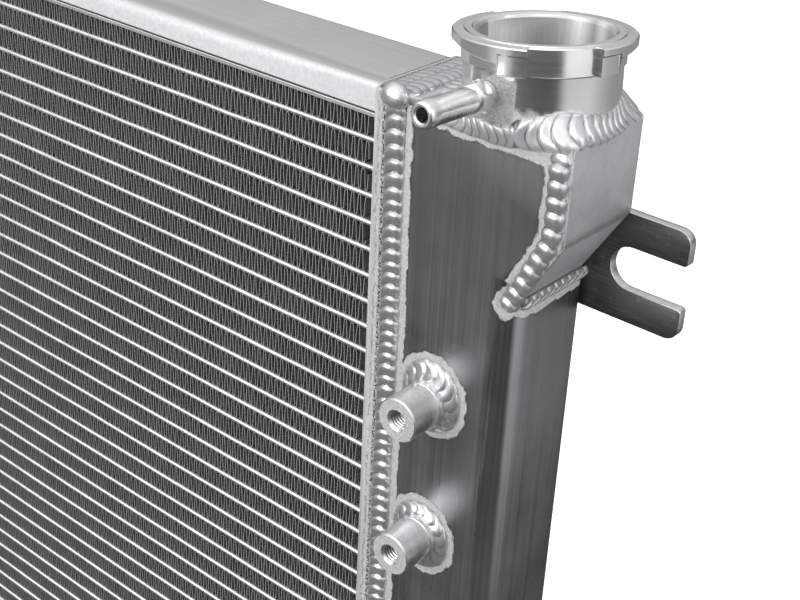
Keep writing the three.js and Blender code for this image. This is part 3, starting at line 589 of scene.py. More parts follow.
def braze_metal(name, low, high, rough, metal=1.0, edge=None):
    """Matt brazed aluminium of the core, blotched by flux; faces that look along Y may be painted
    brighter, as lit edges.
    """
    s = Shader(name)
    fine = s.noise((300.0, 2500.0, 2500.0))
    colour = s.mix(s.grain(s.noise(70.0, 4, 0.65)), low, grey(high, 0.01))
    roughness = s.grain(fine, -0.08, 0.08) + rough
    if edge:
        # Painted light: faces looking to front and back are painted lighter, as lit edges.
        lit_edge = s.facing(1, 0.6, 0.9)
        colour = s.mix(lit_edge, colour, grey(edge, 0.01))
        metal = s.ramp(lit_edge, 0, 1, metal, 0.2)
    return s.finish(colour, roughness, metal, s.bump(fine, 0.03, 0.6))


def rail_metal():
    """Brushed rail: satin on top, matt and pale on its walls, with painted shade on its bends and a
    painted shade line where it meets the lip.
    """
    s = Shader("rail_sheet")
    lines = s.noise((9.0, 1500.0, 1500.0), 4)
    wall = s.facing(1, 0.74, 0.93)
    top = s.mix(s.grain(lines), 0.60, 0.68)
    # Painted shade: the bends between top and walls are painted a flat darker grey.
    top = s.mix(s.facing(1, 0.08, 0.45), top, 0.40)
    pale = s.mix(s.ramp(s.noise(700.0), 0.35, 0.65), grey(0.60, 0.01), grey(0.69, 0.015))
    colour = s.mix(wall, top, pale)
    # Painted shade: a thin dark line along the foot of the wall, over the gap to the lip.
    foot = s.ramp(abs(s.axis(s.place, 2) - (RAIL_LOW[2] + 0.2) * MM), 0.5 * MM, 0.2 * MM) * wall
    colour = s.mix(foot, colour, 0.05)
    roughness = s.grain(s.noise(22.0, 4), -0.05, 0.05) + 0.46
    return s.finish(colour, roughness, s.ramp(wall, 0, 1, 0.9, 0.25), s.bump(lines, 0.01))


def fork_metal():
    """Mill-finish plate: its broad faces are painted dark as a painted reflection of dark surroundings,
    its edges painted bright.
    """
    s = Shader("bracket_plate")
    face = s.facing(1, 0.75, 0.97)
    lines = s.noise((60.0, 900.0, 2300.0), 4)
    speck = s.ramp(s.noise((500.0, 900.0, 1900.0), 2, 0.6, 0.5), 0.66, 0.70)
    painted_dark_face = s.mix(s.grain(lines), 0.13, 0.22)
    painted_dark_face = s.mix(speck * 0.6, painted_dark_face, 0.62)
    painted_lit_edge = s.mix(s.grain(s.noise((900.0, 40.0, 900.0), 3, 0.55)), 0.62, 0.80)
    roughness = s.ramp(face, 0, 1, 0.30, 0.40) + s.grain(lines, -0.06, 0.06)
    return s.finish(s.mix(face, painted_lit_edge, painted_dark_face), roughness, 1.0, s.bump(lines, 0.02, 0.7))


def mottled(name, cloud, dark, pale, rough, metal, fine, depth, strength):
    """A plain material, cloudy in colour and roughness."""
    s = Shader(name)
    cloud = s.noise(*cloud)
    colour = s.mix(s.grain(cloud), dark, pale)
    return s.finish(colour, s.grain(cloud, *rough), metal, s.bump(s.noise(*fine), depth, strength))


# The tank sheet's tone is painted darker towards its top and lighter lower down: painted shade and light.
TANK_FRONT = brushed("tank_sheet", (1700.0, 1700.0, 7.0), 0.34, 0.32, 0.05, fade=(0.74, 1.6))
BOX_SHEET = brushed("box_sheet", (900.0, 900.0, 900.0), 0.56, 0.42, 0.06, 0.02, metal=0.6,
                    band_width=1.6, glints_and_shade=0.35)
HEADER_SHEET = brushed("header_sheet", (1300.0, 1300.0, 30.0), 0.60, 0.5, 0.16, 0.03, metal=0.5,
                       pits=True)
TOP_SHEET = brushed("top_sheet", (1300.0, 40.0, 1300.0), 0.66, 0.45, 0.12, 0.04, etched=False)
RAIL_SHEET = rail_metal()
WELD = weld_metal("weld_bead", 0.60, 0.29, 0.84, 0.7)
NECK_WELD = weld_metal("neck_weld", 0.72, 0.32, 0.70, 0.9)
NECK_METAL = neck_metal()
BOSS_METAL = machined("turned_about_y", (30.0, 2600.0, 30.0), 0.82, 0.28, axis=1)
NIPPLE_METAL = machined("nipple_metal", (30.0, 500.0, 30.0), 0.92, 0.27, 0)
TUBE_METAL = braze_metal("tube_metal", 0.70, 0.90, 0.42)
# Painted shade: the fin sheets are far darker than the same metal in the tubes, for the shade inside the
# core; their edges are painted lighter.
FIN_METAL = braze_metal("fin_metal", 0.17, 0.28, 0.45, 0.6, 0.33)
FORK_METAL = fork_metal()
BRASS = mottled("brass", (120.0, 4), (0.62, 0.43, 0.16), (0.80, 0.60, 0.27), (0.18, 0.34), 1.0,
                (1500.0, 3, 0.55), 0.02, 0.5)
RUBBER = mottled("seal_rubber", (1800.0,), (0.012, 0.012, 0.013), (0.035, 0.035, 0.036), (0.55, 0.8),
                 0.0, (1800.0,), 0.03, 0.6)

# ---- core ----


def tube_level(i):
    return LOW_RAIL_HIGH[2] + (i + 1) * TUBE_PITCH


TUBE_COUNT = round((RAIL_LOW[2] - LOW_RAIL_HIGH[2]) / TUBE_PITCH) - 1


def tube_section():
    """Outer loop and two channel loops of a flat tube, in (y, z) about its middle."""
    far = CORE_HIGH[1] - TUBE_HALF
    near = 0.5
    inner = TUBE_HALF - TUBE_WALL
    outer = arc(far, 0, TUBE_HALF, -90, 90, 6) + arc(-far, 0, TUBE_HALF, 90, 270, 6)
    first = [(near, -inner)] + arc(far, 0, inner, -90, 90, 4) + [(near, inner)]
    second = [(-near, inner)] + arc(-far, 0, inner, 90, 270, 4) + [(-near, -inner)]
    return outer, first, second


def build_tubes():
    """Every tube is an open flat tube with a folded web down its middle."""
    stations = np.linspace(CORE_LOW[0], CORE_HIGH[0], 33)
    for i in range(TUBE_COUNT):
        sway = rng.normal(0, 0.07, len(stations))
        bm = bmesh.new()
        ends = ([], [])
        for loop in tube_section():
            grid = [
                [bm.verts.new((x, y, z + tube_level(i) + dz)) for y, z in loop]
                for x, dz in zip(stations, sway)
            ]
            for a, b in zip(grid, grid[1:]):
                for j in range(len(loop)):
                    bm.faces.new((a[j - 1], a[j], b[j], b[j - 1]))
            for edges, ring in zip(ends, (grid[0], grid[-1])):
                edges += [bm.edges.get((ring[j - 1], ring[j])) for j in range(len(ring))]
        for edges in ends:
            bmesh.ops.triangle_fill(bm, edges=edges, use_beauty=True, use_dissolve=False)
        bmesh.ops.scale(bm, vec=(MM, MM, MM), verts=bm.verts)
        mesh = bpy.data.meshes.new(f"tube_{i + 1:02d}")
        bm.to_mesh(mesh)
        bm.free()
        dress(mesh.name, mesh, TUBE_METAL, "core_matrix", angle=50)


def build_fins():
    """Each fin strip is one thin corrugated sheet, a little uneven from fold to fold."""
    length = CORE_END * 2 - 6.6
    folds = int(length / FIN_PITCH)
    per = 12
    n = folds * per + 1
    turn = np.arange(n) * (2 * math.pi / per)
    fold = turn / math.pi
    marks = np.arange(folds * 2 + 2)
    front, back = 0.8 - CORE_HIGH[1], CORE_HIGH[1] - 0.8
    for i in range(TUBE_COUNT + 1):
        low = tube_level(i - 1) + TUBE_HALF if i else LOW_RAIL_HIGH[2] + PLATE_LIP
        high = tube_level(i) - TUBE_HALF if i < TUBE_COUNT else RAIL_LOW[2] - PLATE_LIP
        jitter = np.cumsum(rng.normal(0, 0.035, len(marks)))
        jitter -= np.linspace(0, jitter[-1], len(marks))
        slope = rng.normal(0, 0.08, len(marks))
        wave = np.tanh(3.2 * np.sin(turn + rng.uniform(0, 6.28))) / math.tanh(3.2)
        bows = np.interp(fold, marks, rng.normal(0.2, 0.4, len(marks)))
        x = turn / (2 * math.pi) * FIN_PITCH - length / 2 + np.interp(fold, marks, jitter + slope)
        x = x + 0.22 * np.cos(math.pi * wave / 2) * bows
        z = (low + high) / 2 + wave * ((high - low) / 2 - FIN_THICK / 2)
        dx, dz = np.gradient(x), np.gradient(z)
        size = np.hypot(dx, dz)
        nx, nz = -dz / size * FIN_THICK / 2, dx / size * FIN_THICK / 2
        loop = [(1, front), (-1, front), (-1, back), (1, back)]
        rows = [np.stack([x + side * nx, np.full(n, y), z + side * nz], -1) for side, y in loop]
        faces = grid_faces(n, 4, False, True)
        faces += [(3, 2, 1, 0), tuple(range(n * 4 - 4, n * 4))]
        piece(f"fin_strip_{i + 1:02d}", np.stack(rows, 1).reshape(-1, 3), faces, FIN_METAL,
              "core_matrix", angle=60)


# ---- welds ----


def distance_along(points):
    return np.r_[0, np.cumsum(np.linalg.norm(np.diff(points, axis=0), axis=1))]


def resample(points, step=0.33):
    """Evenly spaced points along a polyline."""
    points = np.array(points, float)
    lengths = distance_along(points)
    at = np.linspace(0, lengths[-1], max(4, round(lengths[-1] / step)) + 1)
    return np.stack([np.interp(at, lengths, points[:, k]) for k in range(3)], -1)


def bead(name, middle, across, out, width, height, pitch, material, node, closed=False,
         curve=0.55, across_steps=18, ripple=0.30, wobble=0.10, taper=True, sharp=0.32,
         marks=None, pinch=0.07, slant=0.0):
    """A weld bead of overlapping discs along a line of middle points.

    across and out are unit vectors at each point; width and height may vary along the line."""
    n = len(middle)
    width = np.broadcast_to(width, n)
    height = np.broadcast_to(height, n)
    at = distance_along(middle)
    total = at[-1] + closed * np.linalg.norm(middle[0] - middle[-1])
    if marks is None:
        marks = np.r_[0, np.cumsum(1 + rng.uniform(-0.16, 0.16, max(2, round(total / pitch))))]
        marks = marks / marks[-1] * total
    reach = np.diff(marks)
    count = len(reach)
    size = 1 + rng.normal(0, wobble, count + 2)[:count]
    shift = rng.normal(0, wobble * 0.5, count + 2)[:count]
    v = np.linspace(-1, 1, across_steps)
    dome = np.clip(1 - np.abs(v) ** 2.9, 0, 1) ** 0.58
    s = at[:, None] - curve * pitch * (1 - np.cos(v * math.pi / 2)) + slant * pitch * v
    s = np.mod(s, total) if closed else np.clip(s, 0, total - 1e-6)
    index = np.clip(np.searchsorted(marks, s, side="right") - 1, 0, count - 1)
    f = (s - marks[index]) / reach[index]
    # The valleys where discs meet, marked for painted shade.
    groove_shade = np.clip(1 - np.minimum(f, 1 - f) * reach[index] / 0.42, 0, 1)
    rise = np.sin(math.pi / 2 * np.clip(f / sharp, 0, 1))
    fall = 1 - 0.85 * np.clip((f - sharp) / (1 - sharp), 0, 1) ** 1.8
    disc = 0.5 + (rise * fall - 0.5) * np.clip(reach / pitch, 0.35, 1.15)[index]
    peaks = marks[:-1] + reach * 0.35
    swell = np.interp(at, peaks, size)
    side = np.interp(at, peaks, shift)
    pulse = 1 + pinch * (disc[:, across_steps // 2] * 2 - 1)
    fade = np.ones(n)
    if taper and not closed:
        near = np.clip(np.minimum(at, total - at) / (width.mean() * 0.5), 0, 1)
        fade = np.maximum(np.sqrt(1 - (1 - near) ** 2), 0.05)
    half = width / 2 * pulse * (0.9 + 0.1 * swell) * fade
    spread = v * half[:, None] + (side * width / 8)[:, None]
    lift = (1 - ripple) * (0.85 + 0.15 * swell[:, None]) + ripple * disc * 1.25
    lift = lift * dome * (height * fade)[:, None]
    top = middle[:, None] + across[:, None] * spread[..., None] + out[:, None] * lift[..., None]
    low = top[:, [-1, 0]] - out[:, None] * BEAD_SINK
    cols = across_steps + 2
    faces = grid_faces(n, cols, closed, True)
    if not closed:
        faces += [tuple(range(cols))[::-1], tuple(range((n - 1) * cols, n * cols))]
    verts = np.concatenate([top, low], 1).reshape(-1, 3)
    obj = piece(name, verts, faces, material, node, 60)
    mark(obj, np.concatenate([groove_shade, np.zeros((n, 2))], 1))


def across_line(points, out):
    """Unit vectors across a line, from its direction and its outward vectors."""
    along = np.gradient(points, axis=0)
    across = np.cross(out, along / np.linalg.norm(along, axis=1, keepdims=True))
    return across / np.linalg.norm(across, axis=1, keepdims=True)


def smooth_rows(values, passes, closed=False):
    for _ in range(passes):
        smooth = (np.roll(values, 1, 0) + 2 * values + np.roll(values, -1, 0)) / 4
        if not closed:
            smooth[[0, -1]] = values[[0, -1]]
        values = smooth
    return values


def knob(name, centre, radii, node, rough=0.06):
    """A lump of weld metal: an uneven ball."""
    steps = 26
    tilt = np.linspace(0, math.pi, steps)[1:-1]
    turn = circle(2 * steps)
    rows, cols = len(tilt), len(turn)
    t, f = np.meshgrid(tilt, turn, indexing="ij")
    x, y, z = np.sin(t) * np.cos(f), np.sin(t) * np.sin(f), np.cos(t)
    a, b, c = rng.uniform(0, 6.28, 3)
    swell = 1 + rough * (np.sin(3 * x + a) + np.sin(5 * z + b) + 0.6 * np.sin(9 * z + 4 * x + c))
    ball = (np.stack([x, y, z], -1) * swell[..., None]).reshape(-1, 3)
    verts = np.vstack([ball, [[0, 0, 1], [0, 0, -1]]]) * radii + centre
    faces = grid_faces(rows, cols, False, True)
    top, low, last = rows * cols, rows * cols + 1, (rows - 1) * cols
    for j in range(cols):
        k = (j + 1) % cols
        faces += [(top, k, j), (low, last + j, last + k)]
    piece(name, verts, faces, WELD, node, 60)


def line_bead(name, line, out, width, height, pitch, node, **more):
    """A bead along a line that keeps one outward direction."""
    out = np.tile(np.array(out, float) / np.linalg.norm(out), (len(line), 1))
    bead(name, line, across_line(line, out), out, width, height, pitch, WELD, node, **more)


def straight_bead(name, ends, *settings, step=0.33, **more):
    line_bead(name, resample(ends, step), *settings, **more)


def build_header_welds():
    """The bead round each header seam: pearls down the walls, rough double strips on top."""
    for side, label in SIDES:
        node = f"{label}_header_weld"
        for wall, y, sign in (("front", FRONT, -1), ("back", BACK, 1)):
            z = np.linspace(TOP - 3.0, 2.0, 1320)
            line = np.stack([side * seam_x(z), np.full(len(z), float(y)), z], -1)
            sway = np.convolve(rng.normal(0, 1.0, len(z) + 80), np.hanning(81) / 60, "valid")
            line[:, 0] += sway[:len(z)]
            line_bead(f"{label}_header_{wall}_bead", smooth_rows(line, 20), (0, sign, 0), 8.3, 2.3, 4.65,
                      node, curve=0.42, across_steps=20, ripple=0.38, pinch=0.05, slant=0.3)
            knob(f"{label}_header_{wall}_knob", (side * (SEAM - 2.0), y + sign * 0.2, TOP - 1.9),
                 (5.6, 3.6, 4.8), node, 0.015)
            knob(f"{label}_header_{wall}_low_knob", (side * SEAM, y, 1.4), (4.6, 2.6, 3.2), node)
        for strip, x, z, up, width, height, pitch, more in (
            ("inner_strip", SEAM - 5.6, TOP, 1, 5.6, 0.8, 3.4,
             dict(curve=0.2, ripple=0.30, wobble=0.5, taper=False, slant=0.5)),
            ("outer_strip", SEAM + 1.4, TOP, 1, 8.8, 1.5, 3.6,
             dict(curve=0.5, ripple=0.26, wobble=0.5, taper=False, slant=0.3)),
            ("low_bead", SEAM, 0, -1, 8.4, 1.8, 4.4, dict(curve=0.6, ripple=0.4)),
        ):
            ends = [(side * x, BACK - 1, z), (side * x, FRONT + 1, z)]
            straight_bead(f"{label}_header_{strip}", ends, (0, 0, up), width, height, pitch, node, **more)


def fillet_bead(name, low, high, toward, height, pitch, material, node, closed=True, **more):
    """A fillet of overlapping discs between a foot line and a line up the round piece."""
    middle = (low + high) / 2
    width = np.linalg.norm(high - low, axis=1)
    across = (high - low) / width[:, None]
    if closed:
        along = np.roll(middle, -1, 0) - np.roll(middle, 1, 0)
    else:
        along = np.gradient(middle, axis=0)
    out = np.cross(along, across)
    out /= np.linalg.norm(out, axis=1, keepdims=True)
    out *= np.sign((out * toward).sum(1))[:, None]
    bead(name, middle, across, out, width + 0.8, height, pitch, material, node, closed, **more)


def ring_bead(name, centre, radius, reach, climb, axis, height, pitch, shift=(0, 0), stretch=0.0):
    """A fillet bead round a round piece that stands on a wall; its foot may sit off centre."""
    turn = circle(max(80, int(2 * math.pi * radius / 0.33)))
    n = len(turn)
    flat = np.stack([np.cos(turn), np.sin(turn), np.zeros(n)], -1)
    wave = np.convolve(np.tile(rng.normal(0, 0.8, n), 3), np.hanning(25) / 12, "same")[n:2 * n]
    matrix = turned_to(axis).T
    low = (flat * (reach + wave * 0.35)[:, None]) @ matrix
    low += (shift[0], 0, shift[1]) + np.sign(low) * (0, 0, stretch)
    low = smooth_rows(low, 12, True)
    high = (flat * (radius - 0.3) + (0, 0, climb)) @ matrix
    toward = (flat + (0, 0, 0.8)) @ matrix
    fillet_bead(f"{name}_bead", low + centre, high + centre, toward, height, pitch, WELD,
                f"{name}_weld", curve=0.75, ripple=0.26, wobble=0.15, slant=0.2)


def build_box_welds():
    edge = BOX_EDGE + 0.6
    y = FRONT - 0.1
    line = resample([
        (edge - 0.4, y, TOP - 4.5), (edge, y, BOX_CREASE + 6.5), (edge - 0.9, y, BOX_CREASE - 0.5),
        (SIDE - 3.6, y, BOX_LOW[2] - 3.2),
    ])
    line_bead("corner_box_front_bead", smooth_rows(line, 60), (0, -1, 0), 6.5, 2.7, 5.3,
              "corner_box_front_weld", curve=0.16, across_steps=20, ripple=0.32, pinch=0.10, sharp=0.36)
    knob("corner_box_front_start", (edge - 0.4, FRONT + 0.2, TOP - 4.6), (3.6, 1.6, 3.0),
         "corner_box_front_weld", 0.03)
    back = BOX_SIDE - BOX_RADIUS
    straight_bead("corner_box_back_bead", [(back, BACK, TOP - 2), (back, BACK, FORK_HIGH[2] + 1.5)],
                  (0, 1, 0), 6.8, 2.3, 4.8, "corner_box_back_weld", curve=0.6, ripple=0.5)
    z = BOX_LOW[2] - 1.8
    straight_bead("corner_box_foot_bead", [(SIDE + 0.2, FRONT + 2.5, z), (SIDE + 0.2, BACK - 4, z)],
                  (0.86, 0, -0.51), 4.8, 1.7, 4.0, "corner_box_foot_weld", curve=0.1, across_steps=14,
                  ripple=0.42, wobble=0.25, step=0.25, slant=-0.8)


def lean(points):
    """Leans and places points made about the filler neck's own axis."""
    turn = Euler((0, -LEAN_LEFT, 0)).to_matrix() @ Euler((-LEAN_BACK, 0, 0)).to_matrix()
    return np.asarray(points) @ np.array(turn).T + NECK_BASE


# The neck weld's profile round the neck: angle, height of its upper edge, drop of its foot, bulge.
WELD_TURN = [-252, -215, -180, -160, -146, -137, -120, -105, -94, -84, -77, -72, -57, -45, -38, -30,
             -22, -11, -2, 6, 16, 26, 45, 62, 72, 108]
WELD_RISE = [3.0, 3.0, 2.6, 2.2, 1.8, 1.4, 0.9, 0.4, 0.2, 0.2, 0.8, 2.8, 4.2, 4.8, 4.8, 4.6,
             4.2, 3.7, 3.4, 3.6, 5.0, 6.4, 7.0, 6.0, 4.5, 3.0]
WELD_DROP = [3.6, 0, 0, 0, 3.0, 5.6, 6.0, 5.6, 5.8, 5.6, 5.3, 4.6, 4.0, 2.4, 1.0, 0.3,
             0.9, 1.3, 1.1, 0.9, 0.2, 0, 0, 0, 2.0, 3.6]
WELD_BULGE = [2.2, 2.0, 2.0, 2.0, 2.0, 1.8, 1.8, 1.8, 1.8, 1.9, 2.2, 2.8, 3.2, 3.4, 3.3, 3.1,
              2.9, 2.5, 2.2, 1.7, 1.1, 0.7, 0.7, 1.2, 2.0, 2.2]
FIRST_LOBES = [-73.5, -63.5, -55, -46.5, -38.5, -30.5, -22.5, -15, -8, -1, 6, 13, 20, 28, 37, 47, 58, 70,
               82, 94, 108]


def build_neck_weld():
    """Two runs round the neck's foot, both begun at the front, rolled over the tank's edges."""
    count = 430
    for run, start, end, pitch, curve, ripple in (
        ("right", -73.5, 108.0, 5.5, 0.45, 0.40), ("left", -70.5, -252.0, 3.3, 0.7, 0.17),
    ):
        degrees = np.linspace(start, end, count)
        turn = np.radians(degrees)
        direction = np.stack([np.cos(turn), np.sin(turn), np.zeros(count)], -1)
        rise, drop, bulge = (
            np.interp(degrees, WELD_TURN, v) for v in (WELD_RISE, WELD_DROP, WELD_BULGE)
        )
        over_edge = drop > 0.5
        ahead = [BOX_SIDE - NECK_BASE[0], BACK - NECK_BASE[1]]
        walls = np.where(direction[:, :2] > 0, ahead, [33.6, NECK_BASE[1] - FRONT])
        to_wall = (walls / np.maximum(np.abs(direction[:, :2]), 1e-6)).min(1)
        foot = np.minimum(np.where(degrees > 8, 31.2, 33.0), to_wall + np.where(over_edge, 0.3, -0.4))
        wave = np.convolve(rng.normal(0, 1.0, count + 16), np.hanning(17) / 9, "valid")[:count]
        low = NECK_BASE + direction * foot[:, None]
        low[:, 2] += wave * np.where(over_edge, 0.35, 0.0) - drop
        low = smooth_rows(low, 12)
        high = lean(direction * (NECK_RADIUS - 0.5) + np.array([0, 0, 1.0]) * rise[:, None])
        marks = None
        if run == "right":
            at = distance_along((low + high) / 2)
            marks = np.interp(FIRST_LOBES, degrees, at)
            marks[0], marks[-1] = 0, at[-1]
        fillet_bead(f"filler_neck_{run}_bead", low, high, direction + (0, 0, 0.6), bulge, pitch,
                    NECK_WELD, "filler_neck_weld", False, curve=curve, across_steps=28, taper=False,
                    ripple=ripple, marks=marks, wobble=0.06, pinch=0.0, sharp=0.3)


def build_small_welds():
    for side, label in SIDES:
        for name in BOSSES:
            centre = middle_of(f"{label}_{name}")
            x, z = boss_weld_centre(label, name)
            ring_bead(f"{label}_{name}", (centre[0], FRONT, centre[2]), 8.5, 12.2, 2.6, (0, -1, 0), 1.3,
                      4.3, (x - centre[0], z - centre[2]), 1.3)
        ring_bead(f"{label}_locating_pin", (middle_of(f"{label}_locating_pin")[0], 0, 0), 6.0, 8.6, 2.2,
                  (0, 0, -1), 0.8, 3.2)
        node = f"{label}_fork_bracket_weld"
        low, high = box(node)
        x = (high[0] if side > 0 else low[0]) - side * 1.6
        ends = [(x, BACK + 1.6, low[2] + 1), (x, BACK + 1.6, high[2] - 1)]
        straight_bead(f"{label}_fork_bracket_bead", ends, (-0.7 * side, 0.7, 0), 6.6, 1.6, 4.2, node)
    for name, radius, reach, climb, pitch in (
        ("inlet_neck", 16.0, 20.8, 4.0, 5.0), ("outlet_neck", 16.0, 20.8, 4.0, 5.0),
        ("drain_bung", 9.0, 12.0, 2.6, 3.6),
    ):
        centre = middle_of(name)
        ring_bead(name, (centre[0], BACK, centre[2]), radius, reach, climb, (0, 1, 0), 1.4, pitch)


# ---- filler neck and overflow nipple ----


def rim_thickness(turn):
    """Both halves of the rim are alike: a flat part, then a ramp that thickens to a stop."""
    return np.interp(turn, [0, 40, STOPS[0], NOTCH[0], STOPS[1]], [RIM_HEIGHT, 2.6, 6.0, 5.0, RIM_HEIGHT])


def build_neck():
    """The turned neck with its cam rim, two notches, four stops, lip and milled flat."""
    edges = [e - half for e in (*STOPS, *NOTCH) for half in (0, 180)] + FLAT_ENDS
    angles = set(np.round(np.linspace(-180, 178, 180), 2).tolist())
    angles |= {round(e + d, 2) for e in edges for d in (-0.3, 0.3)}
    seat, lip = COLLAR_START, NECK_HEIGHT - LIP_HEIGHT
    rows = []
    for a in sorted(angles):
        rim = skirt = RIM_RADIUS
        under = NECK_HEIGHT - rim_thickness(a % 180)
        if NOTCH[0] <= a % 180 <= NOTCH[1]:
            rim = skirt = COLLAR_RADIUS
            under = 17.6
        elif STOPS[0] <= a % 180 <= STOPS[1]:
            skirt, under = STOP_RADIUS, seat + 0.1
        t = math.radians(a)
        body = min(NECK_RADIUS, NIPPLE_FLAT / max(-math.sin(t), 0.5))
        profile = [
            (NECK_SEAT, -2.2), (body, -2.2), (body, seat - 0.5), (body + 0.1, seat - 0.15),
            (max(body, COLLAR_RADIUS - 0.3), seat), (COLLAR_RADIUS, min(seat + 0.3, under)),
            (COLLAR_RADIUS, under - 0.02), (max(skirt - 0.35, COLLAR_RADIUS), under),
            (skirt, under + 0.35), (skirt, 22.4), (rim, 22.9), (rim, lip - 0.45), (rim - 0.45, lip),
            (25.15, lip), (24.95, lip + 0.1), (24.7, NECK_HEIGHT), (22.6, NECK_HEIGHT),
            (21.5, NECK_HEIGHT - 0.6), (NECK_BORE, NECK_HEIGHT - 1.5), (NECK_BORE, 5.6),
            (NECK_BORE - 0.5, 5.0), (NECK_SEAT + 1.6, 5.0), (NECK_SEAT + 1.2, 5.5),
            (NECK_SEAT + 0.4, 5.5), (NECK_SEAT, 5.0),
        ]
        rows.append([(r * math.cos(t), r * math.sin(t), z) for r, z in profile])
    faces = grid_faces(len(rows), len(profile), True, True)
    piece("filler_neck_turned", lean(np.reshape(rows, (-1, 3))), faces, NECK_METAL, "filler_neck",
          28)


def build_nipple():
    """Shank, hexagon and plain barrel of the overflow nipple, with its bore."""
    r, tip, root, sides = NIPPLE_RADIUS, NIPPLE_TIP, NIPPLE_FLAT, 96
    verts, faces = lathe([
        (2.3, 21.4), (3.1, 21.4), (3.1, root + 0.05), (r - 0.25, root + 0.05), (r, root + 0.35), (r, 27.7),
        (r, 31.8), (r - 0.15, 32.4), (r - 0.15, tip - 6.0), (r, tip - 4.5), (r, tip - 1.3),
        (r - 0.35, tip - 0.4), (r - 1.0, tip), (2.8, tip), (2.3, tip - 0.6),
    ], 56)
    flat = 5.2
    rows = []
    for t in circle(sides):
        reach = flat / math.cos((t + math.pi / 6) % (math.pi / 3) - math.pi / 6)
        cone = min(reach, flat + 0.45)
        t -= math.radians(6.4)
        profile = [(3.3, 27.6), (cone, 27.6), (reach, 28.1), (reach, 31.5), (cone, 32.0), (3.3, 32.0)]
        rows += [(q * math.cos(t), q * math.sin(t), z) for q, z in profile]
    faces += [tuple(i + len(verts) for i in face) for face in grid_faces(sides, 6, True, True)]
    x, y, z = np.concatenate([verts, rows]).T
    verts = lean(np.stack([x + NIPPLE_OFFSET, -z, y + NIPPLE_HEIGHT], -1))
    piece("overflow_nipple_turned", verts, faces, NIPPLE_METAL, "overflow_nipple",
          25)


# ---- turned fittings ----


def build_bosses():
    """Turned bosses with a blind threaded hole."""
    for node in (f"{label}_{name}" for _, label in SIDES for name in BOSSES):
        low, high = box(node)
        _, length, r = (high - low) / (1, 1, 2)
        depth = length - 0.9
        thread = [(3.1, depth)]
        while depth > 6:
            thread += [(3.1, depth), (3.8, depth - 0.6), (3.1, depth - 1.2)]
            depth -= 1.25
        profile = [
            (0.01, -0.6), (r, -0.6), (r, 4.6), (r - 0.3, 4.9), (r - 0.3, length - 0.6), (r - 0.8, length),
            (4.1, length), (3.5, length - 0.5), *thread, (0.01, 4.4),
        ]
        boss = lathed(node, profile, 56, -1)
        # Painted shade: the thread grooves and the middle of the hole's bottom are marked to be painted
        # near black.
        mark(boss, np.tile([q == 3.8 or z < 5 and q < 1 for q, z in profile], 56))


def build_hose_necks():
    for name in ("inlet_neck", "outlet_neck"):
        low, high = box(name)
        _, length, bead_radius = (high - low) / (1, 1, 2)
        r = bead_radius - 1.6
        bead = length - 5.2
        profile = [(r - 2.5, -0.4), (r, -0.4)]
        bump = ((1.6, -3.0), (1.1, -2.4), (0.2, -0.9), (0, 0), (0.2, 0.9), (1.1, 2.4), (1.6, 3.0))
        profile += [(bead_radius - inward, bead + z) for inward, z in bump]
        profile += [(r, length - 0.8), (r - 0.6, length), (r - 2.0, length), (r - 2.5, length - 0.5)]
        lathed(name, profile, 72, 1)


def build_rail(node, level, up):
    """A bent channel with full bends that tighten and widen where it meets the header plates."""
    height, wall, back_bend = RAIL_HIGH[2] - RAIL_LOW[2], 2.5, 4
    front, top = CORE_HIGH[1] + 0.1, height - back_bend
    rows = []
    for x in (0.4 - CORE_END, -290, -265, -235, -200, 200, 235, 265, 290, CORE_END - 0.4):
        r = np.interp(abs(x), [235, 305], [7.5, 4.0])
        half = CORE_HIGH[1] + np.interp(abs(x), [225, 305], [0.3, 1.8])
        bend = (half - back_bend, top)
        loop = [
            (-front, 0), *arc(r - front, height - r, r, 180, 90, 10), *arc(*bend, back_bend, 90, 0, 6),
            (half, 0), (half - wall, 0), *arc(*bend, back_bend - wall, 0, 90, 4),
            *arc(r - front, height - r, max(r - wall, 0.5), 90, 180, 4), (wall - front, 0),
        ]
        rows.append([(x, y, level + up * z) for y, z in loop])
    n, m = len(rows), len(loop)
    faces = grid_faces(n, m, False, True)
    faces += [tuple(range(m)), tuple(range((n - 1) * m, n * m))]
    piece(f"{node}_sheet", np.reshape(rows, (-1, 3)), faces, RAIL_SHEET, node, 30)


def widen(x, y, z):
    """The side plates run out under the rails and show as a thin lip below their walls."""
    drop = PLATE_LIP - 0.7
    return (x, y * 1.2, z - drop if z > CORE_HIGH[2] / 2 else z + drop)


def tuck_top(x, y, z):
    """The top plate of the corner box lies between the side plates."""
    return (x - 3.1 if x > SIDE + 3 else x, y, z)


def raise_top(x, y, z):
    """The side plate runs up to the tank's top."""
    return (x, y, TOP if z > BOX_HIGH[2] - 0.5 else z)


def build_sheets():
    """Sheet and plate pieces: the CAD shapes with rounded edges."""
    for _, label in SIDES:
        refine(f"{label}_header_plate", HEADER_SHEET, 0.15)
        refine(f"{label}_tank_shell", TANK_FRONT, 0.5)
        refine(f"{label}_top_plate", TOP_SHEET, 0.3, move=tuck_top)
        refine(f"{label}_bottom_plate", TOP_SHEET, 0.5)
        refine(f"{label}_fork_bracket", FORK_METAL, 0.45)
        refine(f"{label}_locating_pin", BOSS_METAL, 0.3)
    refine("corner_box_plate", BOX_SHEET, 1.2, segments=4, move=raise_top)
    build_rail("top_rail", RAIL_LOW[2], 1)
    build_rail("bottom_rail", LOW_RAIL_HIGH[2], -1)
    for node in ("top_side_plate", "bottom_side_plate"):
        refine(node, TUBE_METAL, 0.2, segments=1, move=widen)
    refine("drain_bung", BOSS_METAL, 0.6)
    refine("drain_stem", BRASS, 0.4, "drain_screw")
    refine("drain_seal", RUBBER, 0.3, "drain_washer")


# ---- stage ----


